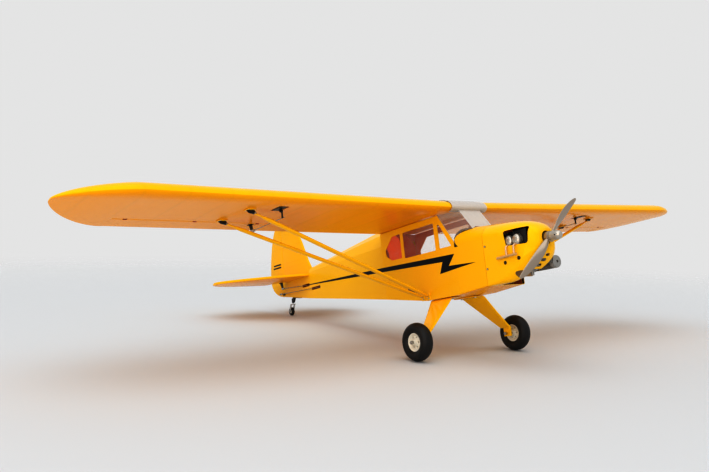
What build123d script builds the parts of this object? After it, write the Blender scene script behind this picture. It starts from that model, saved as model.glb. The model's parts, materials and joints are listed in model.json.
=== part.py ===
from build123d import *
from math import asin, atan, atan2, cos, degrees, hypot, pi, radians, sin, sqrt
import os

# Radio-controlled high-wing light aeroplane: wood frame under plastic film, glow engine in
# the nose, strut-braced wing, fixed tail-wheel undercarriage.
# Everything is drawn in the level datum, in millimetres: X forward, Y to port, Z up, origin at
# the root leading edge of the wing.  At the end all the pieces are turned and lifted together
# into the parked attitude, standing on three wheels with the origin under the bounding box.

# ------------------------------------------------------------------ driving sizes
SPAN = 2030.0
CHORD = 303.0
WING_THICKNESS = 36.0
NOSE_HEIGHT = 9.0
TRAILING_EDGE = 1.6
INCIDENCE = 1.0
DIHEDRAL = 1.0
WING_SKIN = 0.7
ROOT_GAP = 0.8
TIP_START = 865.0
TIP_RISE = 12.0
TIP_CENTRE = 0.42
RIB_PITCH = 95.0
SPAR_AT = 0.30

HINGE_AT = 0.76
AILERON_IN = 470.0
AILERON_OUT = 860.0
CONTROL_GAP = 0.5

CABIN_HALF = 65.0
BODY_SKIN = 1.2
DECK_FRONT = 90.0
CABIN_FRONT = -5.0
CABIN_REAR = -303.0
DECK_END = -764.0
STERN = -952.0

THRUST_HEIGHT = -112.5
PROP_AT = 246.0
PROP_PITCH = 152.0
PROP_TILT = 40.0

MAIN_AXLE = (-62.0, 174.0, -320.6)
TYRE_RADIUS = 47.5
TYRE_WIDTH = 34.0
HUB_RADIUS = 23.0
AXLE_RADIUS = 2.0
TAIL_AXLE = (-931.4, -162.0)
TAIL_TYRE_RADIUS = 14.5
TAIL_PIVOT = -917.0

STAB_HEIGHT = -55.0
STAB_THICKNESS = 8.0
ELEVATOR_HINGE = -944.0
TAIL_HALF_SPAN = 285.0
RUDDER_HINGE = -957.0
FIN_THICKNESS = 7.0
RUDDER_HALF = 2.8
TAIL_SKIN = 0.8
TAIL_FRAME = 5.0
LEADING_FRAME = 17.0

RUNNING = 0.05
ROD_RADIUS = 1.0
HORN_THICKNESS = 1.6
ARM_RADIUS = 12.0

pieces = []


def finish(piece, name):
    """Labels a finished piece and keeps it for the parked assembly."""
    piece.part.label = name
    pieces.append(piece.part)


def block(low, high, mode=Mode.ADD):
    """A box between any two opposite corners."""
    middle = [(a + b) / 2 for a, b in zip(low, high)]
    size = [abs(b - a) for a, b in zip(low, high)]
    with Locations(tuple(middle)):
        Box(*size, mode=mode)


def bar(start, end, radius, mode=Mode.ADD):
    """A round bar, or a round hole, from start to end."""
    run = Vector(*end) - Vector(*start)
    with BuildSketch(Plane(origin=start, z_dir=run)) as round_end:
        Circle(radius)
    extrude(round_end.sketch, amount=run.length, mode=mode)


def plate(outline, half, mode=Mode.ADD):
    """A flat plate with an upright side outline, half its thickness each side of the centre."""
    with BuildSketch(Plane.XZ) as side_view:
        Polygon(*outline, align=None)
    extrude(side_view.sketch, amount=half, both=True, mode=mode)


def mirrored(piece, name):
    """The opposite-hand copy of a port piece."""
    with BuildPart() as other:
        mirror(piece.part, about=Plane.XZ)
    finish(other, name)


# ------------------------------------------------------------------ wing section
THICKNESS_TERMS = ((0.5, 2.969), (1, -1.26), (2, -3.516), (3, 2.843), (4, -1.036))
NOSE_SHARE = 0.12
INSET_FULL_AT = 0.03
CROWN_AT = 0.3


def upper(share, thickness=WING_THICKNESS, nose=NOSE_HEIGHT):
    """Height of the top surface at a share of the chord."""
    swell = sum(factor * share**power for power, factor in THICKNESS_TERMS)
    rest = thickness - nose * (1 - CROWN_AT)
    return nose * (1 - share) + rest * swell + TRAILING_EDGE * share


def lower(share, nose=NOSE_HEIGHT):
    """Height of the bottom surface: an elliptic nose, then flat."""
    if share >= NOSE_SHARE:
        return 0.0
    ahead = 1 - share / NOSE_SHARE
    return nose * (1 - sqrt(1 - ahead**2))


def wing_plane(distance):
    """Plane across the port wing: local X aft along the chord, local Y up, normal outboard."""
    tilt = radians(DIHEDRAL)
    pitch = radians(INCIDENCE)
    outward = (-sin(pitch) * sin(tilt), cos(tilt), cos(pitch) * sin(tilt))
    root = Plane(origin=(0, 0, 0), x_dir=(-cos(pitch), 0, -sin(pitch)), z_dir=outward)
    return root.offset(distance)


def wing_point(aft, up, distance):
    """Datum coordinates of a point given in the wing's own directions."""
    place = wing_plane(distance).from_local_coords((aft, up, 0))
    return (place.X, place.Y, place.Z)


def wing_section(plane, chord, aft=0.0, rise=0.0, inset=0.0, last=1.0):
    """Closed wing section of the given chord, drawn inset from the outer surface."""
    scale = chord / CHORD
    long = chord - 2 * inset
    nose_shares = [NOSE_SHARE * s for s in (1.0, 0.55, 0.25, 0.06, 0.0)]
    top_shares = [last * (1 - cos(pi * n / 16)) for n in range(1, 9)]
    drawn = []
    for share in nose_shares:
        gap = inset * min(1, share / INSET_FULL_AT)
        drawn.append((aft + inset + share * long, rise + lower(share) * scale + gap))
    for share in top_shares:
        gap = inset * min(1, share / INSET_FULL_AT)
        drawn.append((aft + inset + share * long, rise + upper(share) * scale - gap))
    heel = (drawn[-1][0], rise + inset)
    with BuildSketch(plane) as section:
        with BuildLine():
            Spline(*drawn)
            Polyline(drawn[-1], heel, drawn[0])
        make_face()
    return section.sketch


TIP_SHARES = (0.3, 0.55, 0.75, 0.88, 0.95, 0.985)


def tip_station(share):
    """Distance out, chord, setback and rise of the tip section at a share of the tip length."""
    length = (SPAN / 2 / cos(radians(DIHEDRAL)) - TIP_START) / TIP_SHARES[-1]
    left = (1 - share**1.6) ** (1 / 1.5)
    chord = CHORD * left
    return TIP_START + share * length, chord, TIP_CENTRE * (CHORD - chord), TIP_RISE * share**2


def wing_loft(first, inset, last, tip_shares):
    """Straight panel and rounded tip, in one ruled loft."""
    sections = [wing_section(wing_plane(at), CHORD, inset=inset, last=last) for at in (first, TIP_START)]
    for share in tip_shares:
        distance, chord, setback, rise = tip_station(share)
        sections.append(wing_section(wing_plane(distance), chord, setback, rise, inset, last))
    loft(sections, ruled=True)


# Aileron hinge axis in the wing's own directions
HINGE_AFT = HINGE_AT * CHORD
HINGE_UP = upper(HINGE_AT) / 2
NOSE_RADIUS = HINGE_UP - 0.3
BAY_FRONT = HINGE_AFT - NOSE_RADIUS - CONTROL_GAP
BAY_WALL = 1.5


def wing_box(aft, span, up, mode=Mode.ADD):
    """A box in the wing's own directions, each size given as (from, to)."""
    with BuildSketch(wing_plane(span[0])) as end:
        with Locations(((aft[0] + aft[1]) / 2, (up[0] + up[1]) / 2)):
            Rectangle(aft[1] - aft[0], up[1] - up[0])
    extrude(end.sketch, amount=span[1] - span[0], mode=mode)


def aileron_bay(margin, mode):
    """The notch for the aileron, or that notch with its wall thickness around it."""
    aft = (BAY_FRONT - margin, CHORD + 20)
    span = (AILERON_IN - margin, AILERON_OUT + margin)
    wing_box(aft, span, (-20, WING_THICKNESS + 20), mode)


# ------------------------------------------------------------------ wing panels
with BuildPart() as wing_hollow:
    wing_loft(ROOT_GAP + 3, WING_SKIN, 0.93, TIP_SHARES[:4])
    aileron_bay(BAY_WALL, Mode.SUBTRACT)

SERVO_AFT = 77.0
SERVO_SPAN = 529.0
JOINER_AT = 0.42
JOINER_HALF = 150.0
JOINER_HEIGHT = 17.0
JOINER_RADIUS = 5.0

with BuildPart() as wing_left:
    wing_loft(ROOT_GAP, 0.0, 1.0, TIP_SHARES)
    add(wing_hollow.part, mode=Mode.SUBTRACT)
    aileron_bay(0, Mode.SUBTRACT)
    wing_box((SERVO_AFT - 30, SERVO_AFT + 12), (SERVO_SPAN - 13.5, SERVO_SPAN + 11), (-5, 2), Mode.SUBTRACT)
    bar((-JOINER_AT * CHORD, -1, JOINER_HEIGHT), (-JOINER_AT * CHORD, 9, JOINER_HEIGHT), JOINER_RADIUS + 1,
        Mode.SUBTRACT)
finish(wing_left, "wing_left")
mirrored(wing_left, "wing_right")

# Ribs and spar inside each panel, and the steel tube that joins the two
RIB_THICKNESS = 2.0
SPAR_THICKNESS = 3.0
rib_count = int((TIP_START - 20) / RIB_PITCH)
with BuildPart() as wing_frame:
    for number in range(rib_count + 1):
        distance = 12 + number * RIB_PITCH
        in_aileron = AILERON_IN - 20 < distance < AILERON_OUT + 20
        last = 0.68 if in_aileron else 0.9
        rib = wing_section(wing_plane(distance), CHORD, inset=WING_SKIN + 0.1, last=last)
        extrude(rib, amount=RIB_THICKNESS)
    wing_box((SPAR_AT * CHORD - 2, SPAR_AT * CHORD + 2), (2, 840), (2.5, WING_THICKNESS - 3), Mode.SUBTRACT)
    wing_box((SPAR_AT * CHORD - 1.5, SPAR_AT * CHORD + 1.5), (3.9, 838), (3, WING_THICKNESS - 3.5))
    bar((-JOINER_AT * CHORD, -1, JOINER_HEIGHT), (-JOINER_AT * CHORD, JOINER_HALF + 9, JOINER_HEIGHT), 8.5,
        Mode.SUBTRACT)
    wing_box((SERVO_AFT - 32, SERVO_AFT + 14), (SERVO_SPAN - 13, SERVO_SPAN + 13), (-5, 30), Mode.SUBTRACT)
    joiner_x = -JOINER_AT * CHORD
    bar((joiner_x, 0, JOINER_HEIGHT), (joiner_x, JOINER_HALF, JOINER_HEIGHT), JOINER_RADIUS)
    mirror(about=Plane.XZ)
finish(wing_frame, "wing_frame")

# ------------------------------------------------------------------ ailerons
HINGE_PIN_RADIUS = 0.8
HINGE_NOTCH = 5.0
HINGE_LEAF = 2.5
PIN_HALF = 9.0
AILERON_HINGES = (500.0, 665.0, 830.0)
HORN_SPAN = 514.0
HORN_DROP = 21.0

with BuildPart() as aileron_left:
    with BuildSketch(wing_plane(AILERON_IN + CONTROL_GAP)):
        with Locations((HINGE_AFT, HINGE_UP)):
            Circle(NOSE_RADIUS)
        top = HINGE_UP + NOSE_RADIUS
        bottom = HINGE_UP - NOSE_RADIUS
        heel = (CHORD - 0.3, TRAILING_EDGE)
        Polygon((HINGE_AFT, bottom), (CHORD - 0.3, 0.3), heel, (HINGE_AFT, top), align=None)
    extrude(amount=AILERON_OUT - AILERON_IN - 2 * CONTROL_GAP)
    with BuildSketch(wing_plane(AILERON_IN + CONTROL_GAP + 2)):
        toe = HINGE_AFT + 6
        Polygon((toe, bottom + 1), (CHORD - 14, 1.4), (CHORD - 14, 3.4), (toe, top - 2.4), align=None)
    extrude(amount=AILERON_OUT - AILERON_IN - 2 * CONTROL_GAP - 4, mode=Mode.SUBTRACT)
    for distance in AILERON_HINGES:
        notch = (distance - HINGE_NOTCH, distance + HINGE_NOTCH)
        wing_box((BAY_FRONT - 5, HINGE_AFT + 3), notch, (-5, 30), Mode.SUBTRACT)
        ends = [wing_point(HINGE_AFT, HINGE_UP, distance + s * (PIN_HALF + 0.5)) for s in (-1, 1)]
        bar(ends[0], ends[1], HINGE_PIN_RADIUS + RUNNING, Mode.SUBTRACT)
finish(aileron_left, "aileron_left")
mirrored(aileron_left, "aileron_right")

# Nylon horn under each aileron, its hole straight below the hinge
HORN_TOP = bottom
with BuildPart() as aileron_horn:
    with BuildSketch(wing_plane(HORN_SPAN - HORN_THICKNESS / 2)):
        horn_heel = HINGE_AFT + 16
        Polygon((HINGE_AFT - 4, HORN_TOP - HORN_DROP), (HINGE_AFT + 4, HORN_TOP - HORN_DROP),
                (horn_heel, HORN_TOP), (HINGE_AFT, HORN_TOP), align=None)
    extrude(amount=HORN_THICKNESS)
    wing_box((HINGE_AFT, horn_heel), (HORN_SPAN - 5, HORN_SPAN + 5), (HORN_TOP - 1.5, HORN_TOP - 0.05))
    with BuildSketch(wing_plane(HORN_SPAN - 5)):
        with Locations((HINGE_AFT, HORN_TOP - HORN_DROP + 3)):
            Circle(0.9)
    extrude(amount=10, mode=Mode.SUBTRACT)
finish(aileron_horn, "aileron_horn_left")
mirrored(aileron_horn, "aileron_horn_right")

# Output arm of the aileron servo, hanging down beside the horn
ARM_AXIS_UP = -4.0
ARM_GAP = 0.5
AILERON_ARM_LENGTH = 14.0
ROD_UP = ARM_AXIS_UP - AILERON_ARM_LENGTH
with BuildPart() as aileron_arm:
    with BuildSketch(wing_plane(HORN_SPAN + 3)):
        with Locations((SERVO_AFT, ARM_AXIS_UP)):
            Circle(3.5)
        with Locations((SERVO_AFT, ROD_UP)):
            Circle(2.2)
        with Locations((SERVO_AFT, (ARM_AXIS_UP + ROD_UP) / 2)):
            Rectangle(4, AILERON_ARM_LENGTH)
    extrude(amount=2)
finish(aileron_arm, "aileron_servo_arm_left")
mirrored(aileron_arm, "aileron_servo_arm_right")


def horn_fork(tip, along, wide, slot):
    """Block at a rod's end with an open slot that straddles the horn plate."""
    block((tip[0] - along, tip[1] - wide, tip[2] - wide), (tip[0] + along, tip[1] + wide, tip[2] + wide))
    block((tip[0] - along - 1, tip[1] - slot, tip[2] - wide - 1),
          (tip[0] + along - 4, tip[1] + slot, tip[2] + wide + 1), Mode.SUBTRACT)


with BuildPart() as aileron_rod:
    rod_front = wing_point(SERVO_AFT - 4, ROD_UP, HORN_SPAN + 1)
    rod_back = wing_point(HINGE_AFT - 8, HORN_TOP - HORN_DROP + 3, HORN_SPAN)
    bar(rod_front, rod_back, ROD_RADIUS)
    tip = wing_point(HINGE_AFT - 2, HORN_TOP - HORN_DROP + 3, HORN_SPAN)
    horn_fork(tip, 8, 2.6, HORN_THICKNESS / 2 + ARM_GAP)
finish(aileron_rod, "aileron_pushrod_left")
mirrored(aileron_rod, "aileron_pushrod_right")


# ------------------------------------------------------------------ fuselage
# Each station: x, half width, bottom, top longeron, crown
NOSE_STATIONS = ((DECK_FRONT, 61.0, -206.0, -92.0, -53.0), (CABIN_FRONT, CABIN_HALF, -214.0, -90.0, -43.0))
AFT_STATIONS = (
    (CABIN_REAR, CABIN_HALF, -191.5, -85.0, 19.0),
    (-558.0, 41.3, -159.6, -68.0, -9.0),
    (DECK_END, 22.9, -134.5, -60.0, -32.0),
)
TAIL_STATIONS = ((DECK_END, 22.9, -134.5), (STERN, 6.0, -108.5))
SHOULDERS = ((0.96, 0.42), (0.76, 0.78), (0.36, 1.0))
KEEL = -215.0
CABIN_STATIONS = ((CABIN_FRONT, -214.0), (-60.0, KEEL), (-135.0, KEEL), (CABIN_REAR, -191.5))
TAIL_TOP = STAB_HEIGHT - STAB_THICKNESS / 2 - 0.1


def decked_section(x, half, base, sill, crown, inset=0.0):
    """Flat-sided section with a faceted, rounded deck above the longerons."""
    wide = half - inset
    rise = crown - inset - sill
    side = [(wide, base + inset), (wide, sill)]
    side += [(wide * across, sill + rise * up) for across, up in SHOULDERS]
    other = [(-y, z) for y, z in reversed(side)]
    with BuildSketch(Plane.YZ.offset(x)) as section:
        Polygon(*side, *other, align=None)
    return section.sketch


def boxed_section(x, half, base, top, inset=0.0):
    """Rectangular section."""
    with BuildSketch(Plane.YZ.offset(x)) as section:
        with Locations((0, (base + inset + top) / 2)):
            Rectangle(2 * (half - inset), top - base - inset)
    return section.sketch


def saddle(x):
    """Height of the wing seat at x."""
    return x * sin(radians(INCIDENCE)) - 0.3


def fuselage_body(inset, reach, cabin_top):
    """Outer or inner volume of the whole fuselage: front deck, cabin, rear deck and tail box."""
    front, dash = NOSE_STATIONS
    nose = decked_section(front[0] + reach, *front[1:], inset)
    loft([nose, decked_section(*dash, inset)], ruled=True)
    cabin = [boxed_section(x, CABIN_HALF, base, saddle(x) + cabin_top, inset) for x, base in CABIN_STATIONS]
    loft(cabin, ruled=True)
    loft([decked_section(*station, inset) for station in AFT_STATIONS], ruled=True)
    start, stern = TAIL_STATIONS
    tail = [boxed_section(*start, TAIL_TOP - inset, inset)]
    tail.append(boxed_section(stern[0] + inset, *stern[1:], TAIL_TOP - inset, inset))
    loft(tail, ruled=True)


# Window outlines on the cabin side: front quarter, door, rear quarter
SILL = -90.0
PILLAR_FOOT = 1.4
PILLAR_RAKE = 0.648
QUARTER_WINDOW = ((-11, SILL), (-64, SILL), (-64, -16), (-57, -16))
DOOR_WINDOW = ((-76, SILL), (-204, SILL), (-204, -20), (-76, -18))
REAR_WINDOW = ((-216, SILL + 3), (-262, SILL + 3), (-284, SILL + 18), (-286, -56), (-252, -22), (-216, -20))
WINDOWS = (QUARTER_WINDOW, DOOR_WINDOW, REAR_WINDOW)
ELEVATOR_SLOT = ((-750, -97.0), (-832, -81.0))
RUDDER_SLOT = ((-675, -116.0), (-770, -98.0))

with BuildPart() as fuselage_hollow:
    fuselage_body(BODY_SKIN, 5.0, 60.0)

# The cabin side stops at the raked windscreen pillar
PILLAR_LOW = SILL + (PILLAR_FOOT - CABIN_FRONT) / PILLAR_RAKE
PILLAR_CUT = ((CABIN_FRONT, PILLAR_LOW), (PILLAR_FOOT + PILLAR_RAKE * (SILL - 1), 1), (CABIN_FRONT, 1))

with BuildPart() as fuselage:
    fuselage_body(0.0, 0.0, 0.0)
    add(fuselage_hollow.part, mode=Mode.SUBTRACT)
    for outline in WINDOWS:
        plate(outline, CABIN_HALF + 5, Mode.SUBTRACT)
    plate(PILLAR_CUT, CABIN_HALF + 5, Mode.SUBTRACT)
    for start, end in (ELEVATOR_SLOT, RUDDER_SLOT):
        block((end[0], -60, start[1]), (start[0], -8, end[1]), Mode.SUBTRACT)
    bar((ELEVATOR_HINGE, -30, STAB_HEIGHT), (ELEVATOR_HINGE, 30, STAB_HEIGHT), 4.5, Mode.SUBTRACT)
finish(fuselage, "fuselage")

# Formers, firewall, side doublers and servo tray, glued inside the shell
FIREWALL_AT = 128.0
FIREWALL_THICKNESS = 6.0
DOUBLER_HALF = 54.0
TRAY_HEIGHT = -152.0
FORMER_THICKNESS = 3.0
FORMERS = ((60.0, NOSE_STATIONS), (-420.0, AFT_STATIONS), (-540.0, AFT_STATIONS))


def between(stations, x):
    """Section sizes at x, in a straight line between the stations around it."""
    for ahead, behind in zip(stations, stations[1:]):
        if behind[0] <= x <= ahead[0]:
            share = (ahead[0] - x) / (ahead[0] - behind[0])
            return [a + (b - a) * share for a, b in zip(ahead[1:], behind[1:])]
    return list(stations[-1][1:])


with BuildPart() as fuselage_frame:
    for x, stations in FORMERS:
        former = decked_section(x, *between(stations, x), inset=BODY_SKIN + 0.3)
        extrude(former, amount=FORMER_THICKNESS)
        opening = decked_section(x - 1, *between(stations, x), inset=9.0)
        extrude(opening, amount=FORMER_THICKNESS + 2, mode=Mode.SUBTRACT)
    for side in (-1, 1):
        block((5, side * (DOUBLER_HALF - 3), -188), (FIREWALL_AT, side * DOUBLER_HALF, -95))
    block((FIREWALL_AT, -DOUBLER_HALF, -190), (FIREWALL_AT + FIREWALL_THICKNESS, DOUBLER_HALF, -82))
    bar((FIREWALL_AT - 2, 30.5, -125.0), (FIREWALL_AT + 9, 30.5, -125.0), 2.5, Mode.SUBTRACT)
    for side in (-1, 1):
        rail = side * (CABIN_HALF - BODY_SKIN - 0.2)
        block((-240, side * 44, TRAY_HEIGHT - 6), (-40, rail, TRAY_HEIGHT - 3))
    block((-240, -50, TRAY_HEIGHT - 3), (-40, 50, TRAY_HEIGHT))
    block((-228, -21, TRAY_HEIGHT - 8), (-172, 1, TRAY_HEIGHT + 5), Mode.SUBTRACT)
    block((-158, -37, TRAY_HEIGHT - 8), (-102, -15, TRAY_HEIGHT + 5), Mode.SUBTRACT)
    block((-118, 7, TRAY_HEIGHT - 8), (-62, 29, TRAY_HEIGHT + 5), Mode.SUBTRACT)
    block((-930, -4.5, -103), (STERN + 2, 4.5, -62))
    bar((ELEVATOR_HINGE, -30, STAB_HEIGHT), (ELEVATOR_HINGE, 30, STAB_HEIGHT), 7.5, Mode.SUBTRACT)
finish(fuselage_frame, "fuselage_frame")

# Clear panes behind the window openings, on both sides
PANE = 0.8
PANE_MARGIN = 2.0
with BuildPart() as side_windows:
    for outline in WINDOWS:
        with BuildSketch(Plane.XZ.offset(CABIN_HALF - BODY_SKIN - PANE - 0.1)):
            Polygon(*outline, align=None)
            offset(amount=PANE_MARGIN)
        extrude(amount=PANE)
    mirror(about=Plane.XZ)
finish(side_windows, "side_windows")

# Moulded clear windscreen: a flat front and two raked sides, carried up over the wing's nose
SCREEN = 1.0
SCREEN_BASE = -96.0
SCREEN_TOP = 5.0
CREASE_FOOT = 38.0
CREASE_HEIGHT = -50.0
CREASE_RAKE = 0.76
CREASE_HALF = 38.0
SCREEN_BACK = -80.0
HOOD_REAR = -44.0
HOOD_HALF = 62.0
HOOD_GAP = 1.4


def pillar_line(height):
    """Where the front edge of the cabin side stands at a height."""
    return PILLAR_FOOT - PILLAR_RAKE * (height - SILL)


def screen_section(height, inset):
    """Plan view of the windscreen at a height."""
    crease = CREASE_FOOT - CREASE_RAKE * (height - CREASE_HEIGHT) - inset
    side = pillar_line(height) - 1.5 * inset
    half = CABIN_HALF - inset
    front = CREASE_HALF - inset / 2
    with BuildSketch(Plane.XY.offset(height)) as section:
        Polygon((SCREEN_BACK, -half), (side, -half), (crease, -front), (crease, front), (side, half),
                (SCREEN_BACK, half), align=None)
    return section.sketch


with BuildPart() as deck_clearance:
    loft([decked_section(*station, inset=-0.1) for station in NOSE_STATIONS], ruled=True)
    block((CABIN_FRONT - 20, -80, SCREEN_BASE - 10), (60, 80, SILL - 1))

hood_plane = Plane(origin=(0, HOOD_HALF, 0), x_dir=(-1, 0, 0), z_dir=(0, 1, 0))
with BuildPart() as wing_clearance:
    extrude(wing_section(hood_plane.offset(10), CHORD, inset=-HOOD_GAP), amount=-2 * HOOD_HALF - 20)

with BuildPart() as hood:
    extrude(wing_section(hood_plane, CHORD, inset=-HOOD_GAP - SCREEN), amount=-2 * HOOD_HALF)
    add(wing_clearance.part, mode=Mode.SUBTRACT)
    block((HOOD_REAR, -100, -50), (-CHORD - 20, 100, 80), Mode.SUBTRACT)
    block((-12, -100, -50), (HOOD_REAR - 1, 100, 5), Mode.SUBTRACT)

BEHIND_PILLAR = ((SCREEN_BACK - 5, SCREEN_BASE - 5), (pillar_line(SCREEN_BASE - 5) + 0.2, SCREEN_BASE - 5),
                 (pillar_line(5) + 0.2, 5), (SCREEN_BACK - 5, 5))

with BuildPart() as windscreen:
    loft([screen_section(SCREEN_BASE, 0), screen_section(SCREEN_TOP, 0)], ruled=True)
    hollow = [screen_section(SCREEN_BASE - 1, SCREEN), screen_section(SCREEN_TOP + 1, SCREEN)]
    loft(hollow, ruled=True, mode=Mode.SUBTRACT)
    plate(BEHIND_PILLAR, CABIN_HALF + 5, Mode.SUBTRACT)
    add(deck_clearance.part, mode=Mode.SUBTRACT)
    add(wing_clearance.part, mode=Mode.SUBTRACT)
    add(hood.part)
finish(windscreen, "windscreen")

# Instrument panel standing on the deck behind the windscreen
with BuildPart() as instrument_panel:
    block((-9, -63.5, -118), (-6.5, 63.5, -92))
    block((-9, -48, -92), (-6.5, 48, -70))
    for y, z in ((-24, -84), (24, -84), (0, -84)):
        bar((-9, y, z), (-10.5, y, z), 9)
finish(instrument_panel, "instrument_panel")

# ------------------------------------------------------------------ cowl
COWL_BACK = 91.0
COWL_SKIN = 1.2
COWL_STATIONS = (
    (COWL_BACK, 61.0, -206.0, -92.0, -53.0),
    (150.0, 59.5, -205.0, -94.0, -58.0),
    (195.0, 55.0, -195.0, -97.0, -64.0),
    (220.0, 46.0, -177.0, -100.0, -73.0),
    (233.0, 35.0, -162.0, -103.0, -84.0),
    (238.0, 26.0, -149.0, -106.0, -94.0),
)
CHEEK = ((157, -84), (222, -82), (218, -122), (162, -120))
EXIT_HOLES = ((157.0, -158.0), (201.0, -153.0))
EXIT_RADIUS = 4.0
SHAFT_CLEARANCE = 16.0
MUFFLER = (78.0, -163.0)
MUFFLER_RADIUS = 15.5
PORT_AT = 181.0

with BuildPart() as cowl:
    loft([decked_section(*station) for station in COWL_STATIONS], ruled=True)
    inner = [decked_section(*station, inset=COWL_SKIN) for station in COWL_STATIONS[1:-1]]
    inner.insert(0, decked_section(COWL_BACK - 1, *COWL_STATIONS[0][1:], inset=COWL_SKIN))
    loft(inner, ruled=True, mode=Mode.SUBTRACT)
    bar((225, 0, THRUST_HEIGHT), (245, 0, THRUST_HEIGHT), SHAFT_CLEARANCE, Mode.SUBTRACT)
    for x, z in EXIT_HOLES:
        bar((x, -40, z), (x, -75, z), EXIT_RADIUS, Mode.SUBTRACT)
    plate(CHEEK, 80, Mode.SUBTRACT)
    block((178, -50, -225), (204, 50, -180), Mode.SUBTRACT)
    block((PORT_AT - 29, 30, -225), (PORT_AT + 23, 75, -136), Mode.SUBTRACT)
finish(cowl, "cowl")

# ------------------------------------------------------------------ engine, cylinder down
MOUNT_FACE = FIREWALL_AT + FIREWALL_THICKNESS
BEAM_INNER = 20.5
BEAM_OUTER = 28.0
LUG_THICKNESS = 4.0
CASE_RADIUS = 19.0
SHAFT_RADIUS = 5.0
CARB_AT = 214.0
CARB_HEIGHT = -137.0
DRIVE_FACE = PROP_AT - 6.0
HUB_THICKNESS = 12.0

with BuildPart() as engine_mount:
    block((MOUNT_FACE, -30, THRUST_HEIGHT - 28), (MOUNT_FACE + 6, 30, THRUST_HEIGHT + 24))
    for side in (-1, 1):
        low = (MOUNT_FACE + 6, side * BEAM_INNER, THRUST_HEIGHT - 12)
        block(low, (202, side * BEAM_OUTER, THRUST_HEIGHT - 0.05))
    bar((MOUNT_FACE - 1, 30.5, -125.0), (MOUNT_FACE + 7, 30.5, -125.0), 3.0, Mode.SUBTRACT)
finish(engine_mount, "engine_mount")

with BuildPart() as crankcase:
    bar((160, 0, THRUST_HEIGHT), (202, 0, THRUST_HEIGHT), CASE_RADIUS)
    bar((202, 0, THRUST_HEIGHT), (231, 0, THRUST_HEIGHT), 11.0)
    block((164, -BEAM_OUTER, THRUST_HEIGHT), (198, BEAM_OUTER, THRUST_HEIGHT + LUG_THICKNESS))
    bar((PORT_AT, 0, THRUST_HEIGHT), (PORT_AT, 0, THRUST_HEIGHT - 26), 15.0)
    bar((CARB_AT, 0, THRUST_HEIGHT), (CARB_AT, 0, THRUST_HEIGHT - 16), 7.5)
    bar((158, 0, THRUST_HEIGHT), (160, 0, THRUST_HEIGHT), 17.0)
    bar((170, 0, THRUST_HEIGHT), (232, 0, THRUST_HEIGHT), SHAFT_RADIUS + RUNNING, Mode.SUBTRACT)
    bar((166, 0, THRUST_HEIGHT), (189, 0, THRUST_HEIGHT), 14.0, Mode.SUBTRACT)
finish(crankcase, "crankcase")

FIN_COUNT = 6
FIN_PITCH = 5.0
with BuildPart() as cylinder:
    top = THRUST_HEIGHT - 26.1
    bar((PORT_AT, 0, top), (PORT_AT, 0, top - 44), 14.5)
    for number in range(FIN_COUNT):
        level = top - 13 - number * FIN_PITCH
        bar((PORT_AT, 0, level), (PORT_AT, 0, level - 1.8), 20.0)
    bar((PORT_AT, 0, top - 44), (PORT_AT, 0, top - 48), 8.0)
    bar((PORT_AT, 0, top - 48), (PORT_AT, 0, top - 55), 4.0)
    block((PORT_AT - 13, 0, top - 12), (PORT_AT + 13, 24, top - 1))
    block((PORT_AT - 8, 16, top - 10), (PORT_AT + 8, 25, top - 3), Mode.SUBTRACT)
finish(cylinder, "cylinder")

BARREL_RADIUS = 4.0
with BuildPart() as carburettor:
    bar((CARB_AT, 0, THRUST_HEIGHT - 16.1), (CARB_AT, 0, CARB_HEIGHT - 14), 9.0)
    bar((CARB_AT, -14, CARB_HEIGHT), (CARB_AT, 22, CARB_HEIGHT), 7.0)
    bar((CARB_AT, -14, CARB_HEIGHT), (CARB_AT, -26, CARB_HEIGHT), 2.0)
    bar((CARB_AT, 5, CARB_HEIGHT), (CARB_AT, 23, CARB_HEIGHT), BARREL_RADIUS + RUNNING, Mode.SUBTRACT)
finish(carburettor, "carburettor")

THROTTLE_ROD_SIDE = 30.5
ROD_HEIGHT = CARB_HEIGHT + ARM_RADIUS
with BuildPart() as throttle_arm:
    bar((CARB_AT, 5.5, CARB_HEIGHT), (CARB_AT, 28.6, CARB_HEIGHT), BARREL_RADIUS)
    bar((CARB_AT, 26.6, CARB_HEIGHT), (CARB_AT, 28.6, CARB_HEIGHT), 5.0)
    block((CARB_AT - 2, 26.6, CARB_HEIGHT), (CARB_AT + 2, 28.6, ROD_HEIGHT))
    bar((CARB_AT, 26.6, ROD_HEIGHT), (CARB_AT, 28.6, ROD_HEIGHT), 2.5)
finish(throttle_arm, "throttle_arm")

# Shaft with its drive washer; the propeller is clamped between washer and nut
NUT_BACK = DRIVE_FACE + HUB_THICKNESS
NUT_LENGTH = 30.0
NUT_RADIUS = 10.0
NUT_STRAIGHT = 17.0
TOMMY_RADIUS = 1.6
TOMMY_AT = NUT_BACK + 19.0
THREAD_RADIUS = SHAFT_RADIUS + 0.02
with BuildPart() as crankshaft:
    bar((184, 0, THRUST_HEIGHT), (NUT_BACK + 14, 0, THRUST_HEIGHT), SHAFT_RADIUS)
    bar((172, 0, THRUST_HEIGHT), (186, 0, THRUST_HEIGHT), 13.0)
    bar((232.2, 0, THRUST_HEIGHT), (DRIVE_FACE, 0, THRUST_HEIGHT), 13.0)
finish(crankshaft, "crankshaft")

# Blade stations: radius, chord, thickness
BLADE = ((9.0, 9.0, 9.0), (28.0, 20.0, 7.5), (60.0, 26.0, 5.0), (95.0, 25.0, 3.6), (128.0, 18.0, 2.4),
         (150.0, 7.0, 1.4))
TWIST_FROM = 30.0


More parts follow.
